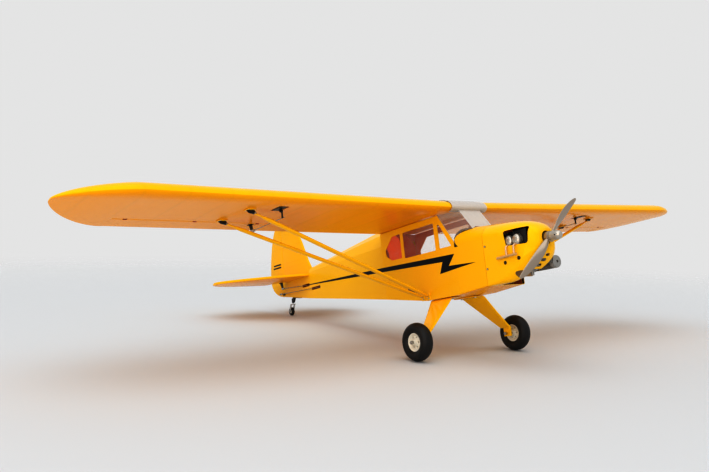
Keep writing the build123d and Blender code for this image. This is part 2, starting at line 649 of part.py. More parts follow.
def blade_section(turn, radius, chord, thickness):
    """Lens-shaped blade section, twisted to the propeller's pitch at its radius."""
    outward = (0, cos(radians(turn)), sin(radians(turn)))
    middle = (PROP_AT, radius * outward[1], THRUST_HEIGHT + radius * outward[2])
    twist = atan(PROP_PITCH / (2 * pi * max(radius, TWIST_FROM)))
    chord_line = (sin(twist), -cos(twist) * outward[2], cos(twist) * outward[1])
    with BuildSketch(Plane(origin=middle, x_dir=chord_line, z_dir=outward)) as section:
        Ellipse(chord / 2, thickness / 2)
    return section.sketch


with BuildPart() as propeller:
    bar((DRIVE_FACE, 0, THRUST_HEIGHT), (NUT_BACK, 0, THRUST_HEIGHT), 13.0)
    for turn in (PROP_TILT, PROP_TILT + 180):
        loft([blade_section(turn, *station) for station in BLADE])
    bar((DRIVE_FACE - 8, 0, THRUST_HEIGHT), (NUT_BACK + 8, 0, THRUST_HEIGHT), THREAD_RADIUS, Mode.SUBTRACT)
finish(propeller, "propeller")

with BuildPart() as spinner_nut:
    with BuildSketch(Plane.XZ) as nut_half:
        with BuildLine():
            rim = THRUST_HEIGHT + NUT_RADIUS
            tip = (NUT_BACK + NUT_LENGTH, THRUST_HEIGHT)
            Polyline(tip, (NUT_BACK, THRUST_HEIGHT), (NUT_BACK, rim), (NUT_BACK + NUT_STRAIGHT, rim))
            Spline((NUT_BACK + NUT_STRAIGHT, rim), tip, tangents=[(1, 0), (0, -1)])
        make_face()
    revolve(axis=Axis((0, 0, THRUST_HEIGHT), (1, 0, 0)))
    bar((NUT_BACK - 1, 0, THRUST_HEIGHT), (NUT_BACK + 14.5, 0, THRUST_HEIGHT), THREAD_RADIUS, Mode.SUBTRACT)
    bar((TOMMY_AT, 20, THRUST_HEIGHT), (TOMMY_AT, -20, THRUST_HEIGHT), TOMMY_RADIUS, Mode.SUBTRACT)
finish(spinner_nut, "spinner_nut")

MUFFLER_BACK = 97.0
MUFFLER_WAIST = 133.0
MUFFLER_FRONT = 195.0
OUTLET_RADIUS = 5.0
OUTLET_LENGTH = 14.0
FLANGE_FACE = 24.1


def muffler_ring(x, radius):
    """Round section of the muffler body."""
    with BuildSketch(Plane.YZ.offset(x)) as ring:
        with Locations(MUFFLER):
            Circle(radius)
    return ring.sketch


def port_ring(side, height, wide, deep):
    """Section of the neck between the exhaust port and the muffler."""
    with BuildSketch(Plane.XZ.offset(-side)) as ring:
        with Locations((PORT_AT, height)):
            Rectangle(wide, deep)
    return ring.sketch


with BuildPart() as muffler:
    across, level = MUFFLER
    waist = muffler_ring(MUFFLER_WAIST, MUFFLER_RADIUS)
    loft([muffler_ring(MUFFLER_FRONT, MUFFLER_RADIUS), waist], ruled=True)
    loft([waist, muffler_ring(MUFFLER_BACK, 9.0)], ruled=True)
    bar((MUFFLER_BACK, across, level), (MUFFLER_BACK - OUTLET_LENGTH, across, level), OUTLET_RADIUS)
    port_height = THRUST_HEIGHT - 26.1 - 6.5
    loft([port_ring(FLANGE_FACE, port_height, 24, 11), port_ring(across - 5, level, 20, 14)], ruled=True)
    bar((MUFFLER_FRONT - 8, across, level), (MUFFLER_BACK - 20, across, level), 3.5, Mode.SUBTRACT)
    bar((MUFFLER_FRONT - 5, across, level), (MUFFLER_FRONT + 1, across, level), 2.0, Mode.SUBTRACT)
finish(muffler, "muffler")

# Dummy flat engine: two silver cylinders in each cheek, with stub pipes to a collector
DUMMY_AT = (166.0, 190.0)
DUMMY_HEIGHT = -109.0
DUMMY_RADIUS = 10.0
DUMMY_STRETCH = 3.5
PAN_SIDE = 41.0
COLLECTOR_SIDE = 64.0
COLLECTOR_HEIGHT = -144.0
with BuildPart() as dummy_engine:
    block((160, PAN_SIDE - 2, -126), (214, PAN_SIDE, -86))
    for x in DUMMY_AT:
        for level in (DUMMY_HEIGHT - DUMMY_STRETCH, DUMMY_HEIGHT + DUMMY_STRETCH):
            bar((x, PAN_SIDE, level), (x, PAN_SIDE + 9, level), DUMMY_RADIUS)
            bar((x, PAN_SIDE + 9, level), (x, PAN_SIDE + 14, level), DUMMY_RADIUS - 2)
        elbow = (x, COLLECTOR_SIDE, DUMMY_HEIGHT - 7)
        bar((x, PAN_SIDE + 6, DUMMY_HEIGHT - 6), elbow, 2.0)
        bar(elbow, (x, COLLECTOR_SIDE, COLLECTOR_HEIGHT), 2.0)
        with Locations(elbow):
            Sphere(2.0)
    bar((135, COLLECTOR_SIDE, COLLECTOR_HEIGHT - 1), (196, COLLECTOR_SIDE, COLLECTOR_HEIGHT), 2.6)
    mirror(about=Plane.XZ)
finish(dummy_engine, "dummy_engine")

# ------------------------------------------------------------------ tank and radio
with BuildPart() as fuel_tank:
    block((8, -27, -142), (108, 27, -92))
    fillet(fuel_tank.edges().filter_by(Axis.X), 12)
    bar((108, 0, -112), (114, 0, -112), 9)
finish(fuel_tank, "fuel_tank")

SWITCH_AT = (-190.0, -181.0)
with BuildPart() as radio_gear:
    block((20, -17, -190), (95, 17, -166))
    block((-290, -16, -176), (-248, 16, -160))
    switch_x, switch_z = SWITCH_AT
    block((switch_x - 14, -CABIN_HALF, switch_z - 6), (switch_x + 14, -CABIN_HALF - 1.6, switch_z + 6))
    block((switch_x - 7, -CABIN_HALF - 1, switch_z - 3), (switch_x + 7, -CABIN_HALF - 3, switch_z + 3),
          Mode.SUBTRACT)
finish(radio_gear, "radio_gear")

with BuildPart() as radio_switch:
    side = -CABIN_HALF
    block((switch_x - 6, side - 1.1, switch_z - 2.4), (switch_x + 1, side - 3.6, switch_z + 2.4))
finish(radio_switch, "radio_switch")

# Servo output shafts: x, side of the output, direction of the arm across the body
THROTTLE_SERVO = (-80.0, THROTTLE_ROD_SIDE - ARM_RADIUS, 1)
ELEVATOR_SERVO = (-190.0, -10.0, -1)
RUDDER_SERVO = (-120.0, -26.0, -1)
SERVO_TOP = ROD_HEIGHT - 3.5
SERVO_LENGTH = 40.0
SERVO_WIDTH = 20.0
SERVO_DEPTH = 38.0
OUTPUT_BACK = 30.0

with BuildPart() as wing_servo:
    with BuildSketch(wing_plane(SERVO_SPAN - 9)):
        with Locations((SERVO_AFT - 9, 10.5)):
            Rectangle(38, 22)
    extrude(amount=18)
    with BuildSketch(wing_plane(HORN_SPAN + 5.3)):
        with Locations((SERVO_AFT, ARM_AXIS_UP)):
            Circle(2.5)
        with Locations((SERVO_AFT, 1)):
            Rectangle(5, -2 * ARM_AXIS_UP)
    extrude(amount=4)
    mirror(about=Plane.XZ)

with BuildPart() as servos:
    add(wing_servo.part)
    for x, y, _ in (THROTTLE_SERVO, ELEVATOR_SERVO, RUDDER_SERVO):
        ahead = SERVO_LENGTH - OUTPUT_BACK
        low = (x - OUTPUT_BACK, y - SERVO_WIDTH / 2, SERVO_TOP - SERVO_DEPTH)
        block(low, (x + ahead, y + SERVO_WIDTH / 2, SERVO_TOP - 0.5))
        block((x - OUTPUT_BACK - 6, y - 9, TRAY_HEIGHT + 0.1), (x + ahead + 6, y + 9, TRAY_HEIGHT + 2.5))
        bar((x, y, SERVO_TOP - 0.5), (x, y, SERVO_TOP + 1.2), 3.0)
finish(servos, "servos")


def servo_arm(x, y, direction):
    """Output disc and arm, level with the rods and pointing across the fuselage."""
    tip = y + direction * ARM_RADIUS
    bar((x, y, SERVO_TOP + 1.5), (x, y, SERVO_TOP + 3.5), 4.0)
    block((x - 2, y, SERVO_TOP + 1.5), (x + 2, tip, SERVO_TOP + 3.5))
    bar((x, tip, SERVO_TOP + 1.5), (x, tip, SERVO_TOP + 3.5), 2.5)


with BuildPart() as throttle_servo_arm:
    servo_arm(*THROTTLE_SERVO)
finish(throttle_servo_arm, "throttle_servo_arm")

with BuildPart() as elevator_servo_arm:
    servo_arm(*ELEVATOR_SERVO)
finish(elevator_servo_arm, "elevator_servo_arm")

with BuildPart() as rudder_servo_arm:
    servo_arm(*RUDDER_SERVO)
finish(rudder_servo_arm, "rudder_servo_arm")

# ------------------------------------------------------------------ stabiliser and elevator
STAB_OUTLINE = ((DECK_END, 0), (DECK_END, 26), (-790, 90), (-832, 170), (-872, 232), (-905, 268), (-930, 282))
STAB_EDGE = ELEVATOR_HINGE + STAB_THICKNESS / 2 + CONTROL_GAP
ELEVATOR_OUTLINE = ((ELEVATOR_HINGE, 282), (-962, 279), (-984, 266), (-1004, 240), (-1018, 200), (-1024, 150),
                    (-1024, 46), (ELEVATOR_HINGE, 16))
ELEVATOR_HINGES = (60.0, 235.0)
ELEVATOR_HORN_SIDE = -20.0
HORN_RADIUS = 25.0
JOINER_WIRE = 2.0
NOSE_BAR = STAB_THICKNESS / 2


def leaf_bay(hinge_x, side):
    """Notch and pin bore for one hinge in a level tail surface."""
    low = (hinge_x + 10, side - HINGE_NOTCH, STAB_HEIGHT - 10)
    block(low, (hinge_x - 3, side + HINGE_NOTCH, STAB_HEIGHT + 10), Mode.SUBTRACT)
    start = (hinge_x, side - PIN_HALF - 0.5, STAB_HEIGHT)
    bar(start, (hinge_x, side + PIN_HALF + 0.5, STAB_HEIGHT), HINGE_PIN_RADIUS + RUNNING, Mode.SUBTRACT)


with BuildPart() as stabiliser:
    right = [(x, -y) for x, y in reversed(STAB_OUTLINE)]
    with BuildSketch(Plane.XY.offset(STAB_HEIGHT - STAB_THICKNESS / 2)):
        Polygon(*STAB_OUTLINE, (STAB_EDGE, 282), (STAB_EDGE, -282), *right, align=None)
    extrude(amount=STAB_THICKNESS)
    with BuildSketch(Plane.XY.offset(STAB_HEIGHT - STAB_THICKNESS / 2 + TAIL_SKIN)):
        Polygon(*STAB_OUTLINE, (STAB_EDGE, 282), (STAB_EDGE, -282), *right, align=None)
        offset(amount=-TAIL_FRAME, mode=Mode.REPLACE)
    extrude(amount=STAB_THICKNESS - 2 * TAIL_SKIN, mode=Mode.SUBTRACT)
finish(stabiliser, "stabiliser")

with BuildPart() as elevator_half:
    with BuildSketch(Plane.XY.offset(STAB_HEIGHT - 3)):
        Polygon(*ELEVATOR_OUTLINE, align=None)
    extrude(amount=6)
    with BuildSketch(Plane.XY.offset(STAB_HEIGHT - 3 + TAIL_SKIN)):
        Polygon(*ELEVATOR_OUTLINE, align=None)
        offset(amount=-TAIL_FRAME, mode=Mode.REPLACE)
        with Locations((ELEVATOR_HINGE, 150)):
            Rectangle(2 * LEADING_FRAME, 400, mode=Mode.SUBTRACT)
    extrude(amount=6 - 2 * TAIL_SKIN, mode=Mode.SUBTRACT)
    bar((ELEVATOR_HINGE, 16, STAB_HEIGHT), (ELEVATOR_HINGE, 282, STAB_HEIGHT), NOSE_BAR)
    for side in ELEVATOR_HINGES:
        leaf_bay(ELEVATOR_HINGE, side)
    bar((ELEVATOR_HINGE, 0, STAB_HEIGHT), (ELEVATOR_HINGE, 20, STAB_HEIGHT), JOINER_WIRE)

with BuildPart() as elevator:
    add(elevator_half.part)
    mirror(elevator_half.part, about=Plane.XZ)
finish(elevator, "elevator")

with BuildPart() as elevator_horn:
    drop = STAB_HEIGHT - HORN_RADIUS
    with BuildSketch(Plane.XZ.offset(-ELEVATOR_HORN_SIDE - HORN_THICKNESS / 2)):
        Polygon((ELEVATOR_HINGE - 4, drop - 3), (ELEVATOR_HINGE + 4, drop - 3),
                (ELEVATOR_HINGE + 1, STAB_HEIGHT - 4.2), (ELEVATOR_HINGE - 16, STAB_HEIGHT - 4.2), align=None)
        with Locations((ELEVATOR_HINGE, drop)):
            Circle(0.9, mode=Mode.SUBTRACT)
    extrude(amount=HORN_THICKNESS)
    block((ELEVATOR_HINGE - 16, ELEVATOR_HORN_SIDE - 4, STAB_HEIGHT - 5.4),
          (ELEVATOR_HINGE - 5, ELEVATOR_HORN_SIDE + 4, STAB_HEIGHT - 3.05))
finish(elevator_horn, "elevator_horn")

# ------------------------------------------------------------------ fin and rudder
FIN_FOOT = STAB_HEIGHT + STAB_THICKNESS / 2 + 0.1
FIN_OUTLINE = ((-775, FIN_FOOT), (-776, -34), (-792, -6), (-812, 38), (-834, 84), (-862, 122), (-898, 148),
               (-932, 157))
FIN_EDGE = RUDDER_HINGE + FIN_THICKNESS / 2 + CONTROL_GAP
RUDDER_FOOT = -108.0
RUDDER_TOP = 157.0
RUDDER_OUTLINE = ((RUDDER_HINGE, RUDDER_TOP), (-976, 152), (-998, 136), (-1018, 102), (-1034, 58),
                  (-1046, 10), (-1053, -40), (-1046, -66), (-1026, -88), (-995, -102),
                  (RUDDER_HINGE, RUDDER_FOOT))
RUDDER_HINGES = (-20.0, 60.0, 130.0)
RUDDER_HORN_HEIGHT = -98.0
RUDDER_HORN_REACH = 22.0

with BuildPart() as fin:
    plate((*FIN_OUTLINE, (FIN_EDGE, RUDDER_TOP), (FIN_EDGE, FIN_FOOT)), FIN_THICKNESS / 2)
    with BuildSketch(Plane.XZ):
        Polygon(*FIN_OUTLINE, (FIN_EDGE, RUDDER_TOP), (FIN_EDGE, FIN_FOOT), align=None)
        offset(amount=-TAIL_FRAME, mode=Mode.REPLACE)
    extrude(amount=FIN_THICKNESS / 2 - TAIL_SKIN, both=True, mode=Mode.SUBTRACT)
finish(fin, "fin")

with BuildPart() as rudder:
    plate(RUDDER_OUTLINE, RUDDER_HALF)
    with BuildSketch(Plane.XZ):
        Polygon(*RUDDER_OUTLINE, align=None)
        offset(amount=-TAIL_FRAME, mode=Mode.REPLACE)
        with Locations((RUDDER_HINGE, 0)):
            Rectangle(2 * LEADING_FRAME, 600, mode=Mode.SUBTRACT)
    extrude(amount=RUDDER_HALF - TAIL_SKIN, both=True, mode=Mode.SUBTRACT)
    bar((RUDDER_HINGE, 0, RUDDER_FOOT), (RUDDER_HINGE, 0, RUDDER_TOP), FIN_THICKNESS / 2)
    for height in RUDDER_HINGES:
        low = (RUDDER_HINGE + 10, -10, height - HINGE_NOTCH)
        block(low, (RUDDER_HINGE - 3, 10, height + HINGE_NOTCH), Mode.SUBTRACT)
        foot = (RUDDER_HINGE, 0, height - PIN_HALF - 0.5)
        bar(foot, (RUDDER_HINGE, 0, height + PIN_HALF + 0.5), HINGE_PIN_RADIUS + RUNNING, Mode.SUBTRACT)
finish(rudder, "rudder")

with BuildPart() as rudder_horn:
    with BuildSketch(Plane.XY.offset(RUDDER_HORN_HEIGHT - HORN_THICKNESS / 2)):
        reach = -RUDDER_HORN_REACH
        Polygon((RUDDER_HINGE - 4, reach - 3), (RUDDER_HINGE + 4, reach - 3), (RUDDER_HINGE + 1, -3.6),
                (RUDDER_HINGE - 16, -3.6), align=None)
        with Locations((RUDDER_HINGE, reach)):
            Circle(0.9, mode=Mode.SUBTRACT)
    extrude(amount=HORN_THICKNESS)
    pad_low = (RUDDER_HINGE - 16, -2.85, RUDDER_HORN_HEIGHT - 4)
    block(pad_low, (RUDDER_HINGE - 5, -4.6, RUDDER_HORN_HEIGHT + 4))
finish(rudder_horn, "rudder_horn")

# Hinge leaves on the fixed surfaces, each with its pin in the moving surface
with BuildPart() as wing_hinges:
    for distance in AILERON_HINGES:
        leaf = (distance - HINGE_LEAF, distance + HINGE_LEAF)
        wing_box((BAY_FRONT + 0.1, HINGE_AFT + 1), leaf, (HINGE_UP - 0.8, HINGE_UP + 0.8))
        ends = [wing_point(HINGE_AFT, HINGE_UP, distance + s * PIN_HALF) for s in (-1, 1)]
        bar(ends[0], ends[1], HINGE_PIN_RADIUS)
    for side in ELEVATOR_HINGES:
        low = (STAB_EDGE - 0.1, side - HINGE_LEAF, STAB_HEIGHT - 0.8)
        block(low, (ELEVATOR_HINGE - 1, side + HINGE_LEAF, STAB_HEIGHT + 0.8))
        pin_end = (ELEVATOR_HINGE, side + PIN_HALF, STAB_HEIGHT)
        bar((ELEVATOR_HINGE, side - PIN_HALF, STAB_HEIGHT), pin_end, HINGE_PIN_RADIUS)
    mirror(about=Plane.XZ)

with BuildPart() as hinges:
    add(wing_hinges.part)
    for height in RUDDER_HINGES:
        low = (FIN_EDGE - 0.1, -0.8, height - HINGE_LEAF)
        block(low, (RUDDER_HINGE - 1, 0.8, height + HINGE_LEAF))
        pin_top = (RUDDER_HINGE, 0, height + PIN_HALF)
        bar((RUDDER_HINGE, 0, height - PIN_HALF), pin_top, HINGE_PIN_RADIUS)
finish(hinges, "hinges")

# ------------------------------------------------------------------ fuselage pushrods
FORK_HALF = 2.6
FORK_SLOT = HORN_THICKNESS / 2 + ARM_GAP

with BuildPart() as elevator_rod:
    rod_start = (ELEVATOR_SERVO[0] + 3, ELEVATOR_SERVO[1] - ARM_RADIUS, ROD_HEIGHT + 2.8)
    rod_end = (ELEVATOR_HINGE + 5, ELEVATOR_HORN_SIDE, STAB_HEIGHT - HORN_RADIUS)
    bar(rod_start, rod_end, ROD_RADIUS)
    horn_fork((ELEVATOR_HINGE + 2, *rod_end[1:]), 8, FORK_HALF, FORK_SLOT)
finish(elevator_rod, "elevator_pushrod")

with BuildPart() as rudder_rod:
    rod_start = (RUDDER_SERVO[0] + 3, RUDDER_SERVO[1] - ARM_RADIUS, ROD_HEIGHT + 2.8)
    rod_end = (RUDDER_HINGE + 5, -RUDDER_HORN_REACH, RUDDER_HORN_HEIGHT)
    bar(rod_start, rod_end, ROD_RADIUS)
    x, y, z = (RUDDER_HINGE + 2, *rod_end[1:])
    block((x - 8, y - FORK_HALF, z - FORK_HALF), (x + 8, y + FORK_HALF, z + FORK_HALF))
    block((x - 9, y - FORK_HALF - 1, z - FORK_SLOT), (x + 4, y + FORK_HALF + 1, z + FORK_SLOT), Mode.SUBTRACT)
finish(rudder_rod, "rudder_pushrod")

with BuildPart() as throttle_rod:
    rod_start = (THROTTLE_SERVO[0] - 3, THROTTLE_ROD_SIDE, ROD_HEIGHT + 2.8)
    bar(rod_start, (CARB_AT - 14, THROTTLE_ROD_SIDE, ROD_HEIGHT), ROD_RADIUS)
    bar((CARB_AT - 14, THROTTLE_ROD_SIDE, ROD_HEIGHT), (CARB_AT + 4, THROTTLE_ROD_SIDE, ROD_HEIGHT), 1.2)
finish(throttle_rod, "throttle_pushrod")

# ------------------------------------------------------------------ wing struts
STRUT_FOOT = (-134.0, 68.0, -207.0)
STRUT_SPREAD = 11.0
FRONT_FITTING = (86.0, 583.0)
REAR_FITTING = (203.0, 596.0)
FITTING_DROP = 9.0
STRUT_LONG = 14.0
STRUT_THIN = 6.5


def strut(foot, head):
    """Streamlined strut between its two end fittings."""
    run = Vector(*head) - Vector(*foot)
    flat = run.cross(Vector(1, 0, 0))
    across = flat.cross(run).normalized()
    sections = []
    for place in (foot, head):
        with BuildSketch(Plane(origin=place, x_dir=across, z_dir=run)) as section:
            Ellipse(STRUT_LONG / 2, STRUT_THIN / 2)
        sections.append(section.sketch)
    loft(sections, ruled=True)


def strut_ends(fitting, shift):
    """Foot and head of one strut."""
    aft, distance = fitting
    foot = (STRUT_FOOT[0] + shift, STRUT_FOOT[1] + 4, STRUT_FOOT[2] + 4)
    return foot, wing_point(aft, -FITTING_DROP, distance)


with BuildPart() as front_strut:
    strut(*strut_ends(FRONT_FITTING, STRUT_SPREAD))
finish(front_strut, "front_strut_left")
mirrored(front_strut, "front_strut_right")

with BuildPart() as rear_strut:
    strut(*strut_ends(REAR_FITTING, -STRUT_SPREAD))
finish(rear_strut, "rear_strut_left")
mirrored(rear_strut, "rear_strut_right")

# Black nylon clevises under the wing and steel lugs at the lower longeron
with BuildPart() as port_fittings:
    for aft, distance in (FRONT_FITTING, REAR_FITTING):
        wing_box((aft - 12, aft + 12), (distance + 2, distance + 22), (-2.2, -0.1))
        wing_box((aft - 1.5, aft + 1.5), (distance + 6, distance + 20), (-FITTING_DROP + 1, -1))
    side, base = CABIN_HALF + 0.1, STRUT_FOOT[2]
    for shift in (-STRUT_SPREAD, STRUT_SPREAD):
        middle = STRUT_FOOT[0] + shift
        block((middle - 6, side, base - 7), (middle + 6, side + 1.5, base + 12))
    mirror(about=Plane.XZ)
finish(port_fittings, "strut_fittings")

# ------------------------------------------------------------------ undercarriage
LEG_FOOT = (-66.0, 146.0, -304.0)
LEG_TOP = (-86.0, 58.0, -217.0)
LEG_THICKNESS = 6.0


def leg_section(place, wide):
    """Cross-section of the flat leg, square to its slope as seen from ahead."""
    with BuildSketch(Plane(origin=place, x_dir=(1, 0, 0), z_dir=(0, 1, -1))) as section:
        Rectangle(wide, LEG_THICKNESS)
    return section.sketch


with BuildPart() as gear_leg:
    loft([leg_section(LEG_TOP, 80.0), leg_section(LEG_FOOT, 34.0)], ruled=True)
    block((-126, 20, KEEL - 3.2), (-46, 61, KEEL - 0.2))
    block((-180, 0, KEEL - 0.2), (0, 80, KEEL + 30), Mode.SUBTRACT)
    axle_x, axle_side, axle_height = MAIN_AXLE
    block((axle_x - 12, LEG_FOOT[1] - 3, axle_height - 8), (axle_x + 12, LEG_FOOT[1] + 3, LEG_FOOT[2]))
    bar((axle_x, 120, axle_height), (axle_x, 170, axle_height), AXLE_RADIUS + RUNNING, Mode.SUBTRACT)
finish(gear_leg, "gear_leg_left")
mirrored(gear_leg, "gear_leg_right")

# Stub axles with their nuts and wheel collars
HUB_HALF = 15.0
with BuildPart() as axle_left:
    inner = LEG_FOOT[1]
    bar((axle_x, inner - 9, axle_height), (axle_x, axle_side + HUB_HALF + 8, axle_height), AXLE_RADIUS)
    with BuildSketch(Plane.XZ.offset(-inner + 8)):
        with Locations((axle_x, axle_height)):
            RegularPolygon(4.5, 6)
    extrude(amount=4)
    bar((axle_x, inner + 3.5, axle_height), (axle_x, axle_side - HUB_HALF - 0.5, axle_height), 5.0)
    collar = axle_side + HUB_HALF + 0.5
    bar((axle_x, collar, axle_height), (axle_x, collar + 5, axle_height), 4.5)
with BuildPart() as axles:
    add(axle_left.part)
    mirror(axle_left.part, about=Plane.XZ)
finish(axles, "axles")


def wheel_ring(x, side, height):
    """Axis of a wheel."""
    return Axis((x, side, height), (0, 1, 0))


with BuildPart() as hub:
    with BuildSketch(Plane.YZ.offset(axle_x)):
        bore = AXLE_RADIUS + RUNNING
        Polygon((axle_side - HUB_HALF, axle_height + bore), (axle_side + HUB_HALF, axle_height + bore),
                (axle_side + HUB_HALF, axle_height + 7), (axle_side + 9, axle_height + 9),
                (axle_side + 8, axle_height + 18), (axle_side + 11, axle_height + HUB_RADIUS),
                (axle_side - 11, axle_height + HUB_RADIUS), (axle_side - 8, axle_height + 18),
                (axle_side - 9, axle_height + 9), (axle_side - HUB_HALF, axle_height + 7), align=None)
    revolve(axis=wheel_ring(*MAIN_AXLE))
finish(hub, "hub_left")
mirrored(hub, "hub_right")

with BuildPart() as tyre:
    with BuildSketch(Plane.YZ.offset(axle_x)):
        middle = axle_height + (TYRE_RADIUS + HUB_RADIUS) / 2
        with Locations((axle_side, middle)):
            Ellipse(TYRE_WIDTH / 2, (TYRE_RADIUS - HUB_RADIUS) / 2)
        with Locations((axle_side, axle_height + HUB_RADIUS + 2.55)):
            Rectangle(21.6, 5)
    revolve(axis=wheel_ring(*MAIN_AXLE))
finish(tyre, "tyre_left")
mirrored(tyre, "tyre_right")

# ------------------------------------------------------------------ tail wheel
TAIL_X, TAIL_Z = TAIL_AXLE
PIVOT_RADIUS = 1.5
PIVOT_TOP = -116.0
PIVOT_FOOT = -138.0
TAIL_TYRE_HALF = 4.5
with BuildPart() as tail_bracket:
    plate(((-862, -121.3), (-908, -114.9), (-908, -117.5), (-862, -123.3)), 5)
    plate(((-900, -117), (-908, -116), (TAIL_PIVOT, -121), (TAIL_PIVOT, -133), (-910, -133)), 3)
    bar((TAIL_PIVOT, 0, -134), (TAIL_PIVOT, 0, -119), 4.0)
    bar((TAIL_PIVOT, 0, -140), (TAIL_PIVOT, 0, -112), PIVOT_RADIUS + RUNNING, Mode.SUBTRACT)
finish(tail_bracket, "tail_bracket")

with BuildPart() as tail_fork:
    bar((TAIL_PIVOT, 0, PIVOT_FOOT), (TAIL_PIVOT, 0, PIVOT_TOP), PIVOT_RADIUS)
    bar((TAIL_PIVOT, 0, -118.5), (TAIL_PIVOT, 0, PIVOT_TOP), 3.0)
    block((TAIL_PIVOT - 6, -7.5, -139.5), (TAIL_PIVOT + 4, 7.5, -137.5))
    for side in (-1, 1):
        with BuildSketch(Plane.XZ.offset(side * 6.75 + 0.75)):
            Polygon((TAIL_PIVOT - 5, -138), (TAIL_PIVOT + 3, -138), (TAIL_X + 4, TAIL_Z - 3),
                    (TAIL_X - 4, TAIL_Z - 3), align=None)
        extrude(amount=1.5)
    bar((TAIL_X, -9, TAIL_Z), (TAIL_X, 9, TAIL_Z), 1.5)
finish(tail_fork, "tail_fork")

with BuildPart() as tail_wheel:
    bar((TAIL_X, -TAIL_TYRE_HALF, TAIL_Z), (TAIL_X, TAIL_TYRE_HALF, TAIL_Z), TAIL_TYRE_RADIUS)
    rims = tail_wheel.edges().filter_by(GeomType.CIRCLE).sort_by(SortBy.RADIUS)[-2:]
    fillet(rims, 3.5)
    bar((TAIL_X, -6, TAIL_Z), (TAIL_X, 6, TAIL_Z), 1.5 + RUNNING, Mode.SUBTRACT)
finish(tail_wheel, "tail_wheel")

# ------------------------------------------------------------------ fasteners
with BuildPart() as screws:
    for side in (-1, 1):
        for x, z in ((97.0, -110.0), (97.0, -165.0)):
            bar((x, side * 61.1, z), (x, side * 62.6, z), 2.4)
        for x in (-112, -60):
            bar((x, side * 40, KEEL - 3.3), (x, side * 40, KEEL - 5.3), 3.5)
        for aft, lift in ((70, 0.2), (230, 0.9)):
            foot = wing_point(aft, upper(aft / CHORD) + lift, 20)
            head = wing_point(aft, upper(aft / CHORD) + lift + 2, 20)
            bar((foot[0], side * foot[1], foot[2]), (head[0], side * head[1], head[2]), 3.5)
finish(screws, "screws")

# ------------------------------------------------------------------ parked attitude
os.makedirs("parts", exist_ok=True)
wheelbase = MAIN_AXLE[0] - TAIL_X
tail_lift = TAIL_Z - MAIN_AXLE[2]
lean = asin((TYRE_RADIUS - TAIL_TYRE_RADIUS) / hypot(wheelbase, tail_lift))
PARK_ANGLE = degrees(atan2(tail_lift, wheelbase) + lean)
PITCH_UP = Location((0, 0, 0), (0, -PARK_ANGLE, 0))
boxes = [piece.moved(PITCH_UP).bounding_box() for piece in pieces]
low_x = min(box.min.X for box in boxes)
high_x = max(box.max.X for box in boxes)
low_z = min(box.min.Z for box in boxes)
PARKED = Location((-(low_x + high_x) / 2, 0, -low_z)) * PITCH_UP
for piece in pieces:
    parked = piece.moved(PARKED)
    parked.label = piece.label
    export_step(parked, f"parts/{piece.label}.step")
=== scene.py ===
import bpy
import bmesh
import json
from math import atan, copysign, cos, pi, radians, sin, sqrt
from mathutils import Matrix, Vector


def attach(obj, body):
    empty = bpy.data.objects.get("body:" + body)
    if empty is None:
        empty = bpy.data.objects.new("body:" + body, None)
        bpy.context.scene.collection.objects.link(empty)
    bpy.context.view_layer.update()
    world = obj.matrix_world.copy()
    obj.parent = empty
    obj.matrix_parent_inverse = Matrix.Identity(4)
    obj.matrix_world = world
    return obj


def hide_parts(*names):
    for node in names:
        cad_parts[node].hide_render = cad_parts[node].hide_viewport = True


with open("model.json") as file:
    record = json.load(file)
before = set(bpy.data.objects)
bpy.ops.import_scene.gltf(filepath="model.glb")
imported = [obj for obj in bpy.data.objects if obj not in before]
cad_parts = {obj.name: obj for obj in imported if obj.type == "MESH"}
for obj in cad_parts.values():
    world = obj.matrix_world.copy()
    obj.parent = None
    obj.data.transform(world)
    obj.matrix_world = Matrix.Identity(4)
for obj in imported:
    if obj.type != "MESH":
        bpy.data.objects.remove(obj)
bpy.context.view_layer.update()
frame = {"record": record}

# ------------ level datum
# Shapes are written in millimetres in the aeroplane's own level datum: X forward, Y to port,
# Z up, origin at the wing's root leading edge.  LEVEL carries them into the row frame.
MM = 0.001
CABIN_REAR = -303.0
PROP_AT = 246.0
THRUST = -112.5
joints = {joint["name"]: joint for joint in frame["record"]["behaviour"]["joints"]}
ahead = Vector(joints["prop_spin"]["axis"]).normalized()
port = Vector((0, 1, 0))
upward = ahead.cross(port)
origin = Vector(joints["prop_spin"]["pos_m"]) - ahead * PROP_AT * MM - upward * THRUST * MM


def axes_at(x, y, z, place):
    """Matrix with these three axes and this origin."""
    return Matrix((*zip(x, y, z, place), (0, 0, 0, 1)))


LEVEL = axes_at(ahead, port, upward, origin)


# ------------ materials
def datum_coords(tree):
    """Object coordinates turned back from the row frame into the level datum."""
    level = LEVEL.inverted()
    turn = tree.nodes.new("ShaderNodeMapping")
    turn.inputs["Location"].default_value = level.translation
    turn.inputs["Rotation"].default_value = level.to_euler()
    tree.links.new(tree.nodes.new("ShaderNodeTexCoord").outputs["Object"], turn.inputs["Vector"])
    return turn.outputs["Vector"]


def nodes_of(name):
    """A new material with its tree and shader."""
    mat = bpy.data.materials.new(name)
    mat.use_nodes = True
    tree = mat.node_tree
    shader = tree.nodes["Principled BSDF"]
    return mat, tree, shader


def feed(tree, socket, value):
    """Links a socket from another one, or sets its number or colour."""
    if isinstance(value, bpy.types.NodeSocket):
        tree.links.new(value, socket)
    elif isinstance(value, (tuple, list)):
        socket.default_value = (*value[:3], 1)
    else:
        socket.default_value = value


def maths(tree, operation, *values):
    """Output of a maths node."""
    node = tree.nodes.new("ShaderNodeMath")
    node.operation = operation
    for index, value in enumerate(values):
        feed(tree, node.inputs[index], value)
    return node.outputs[0]


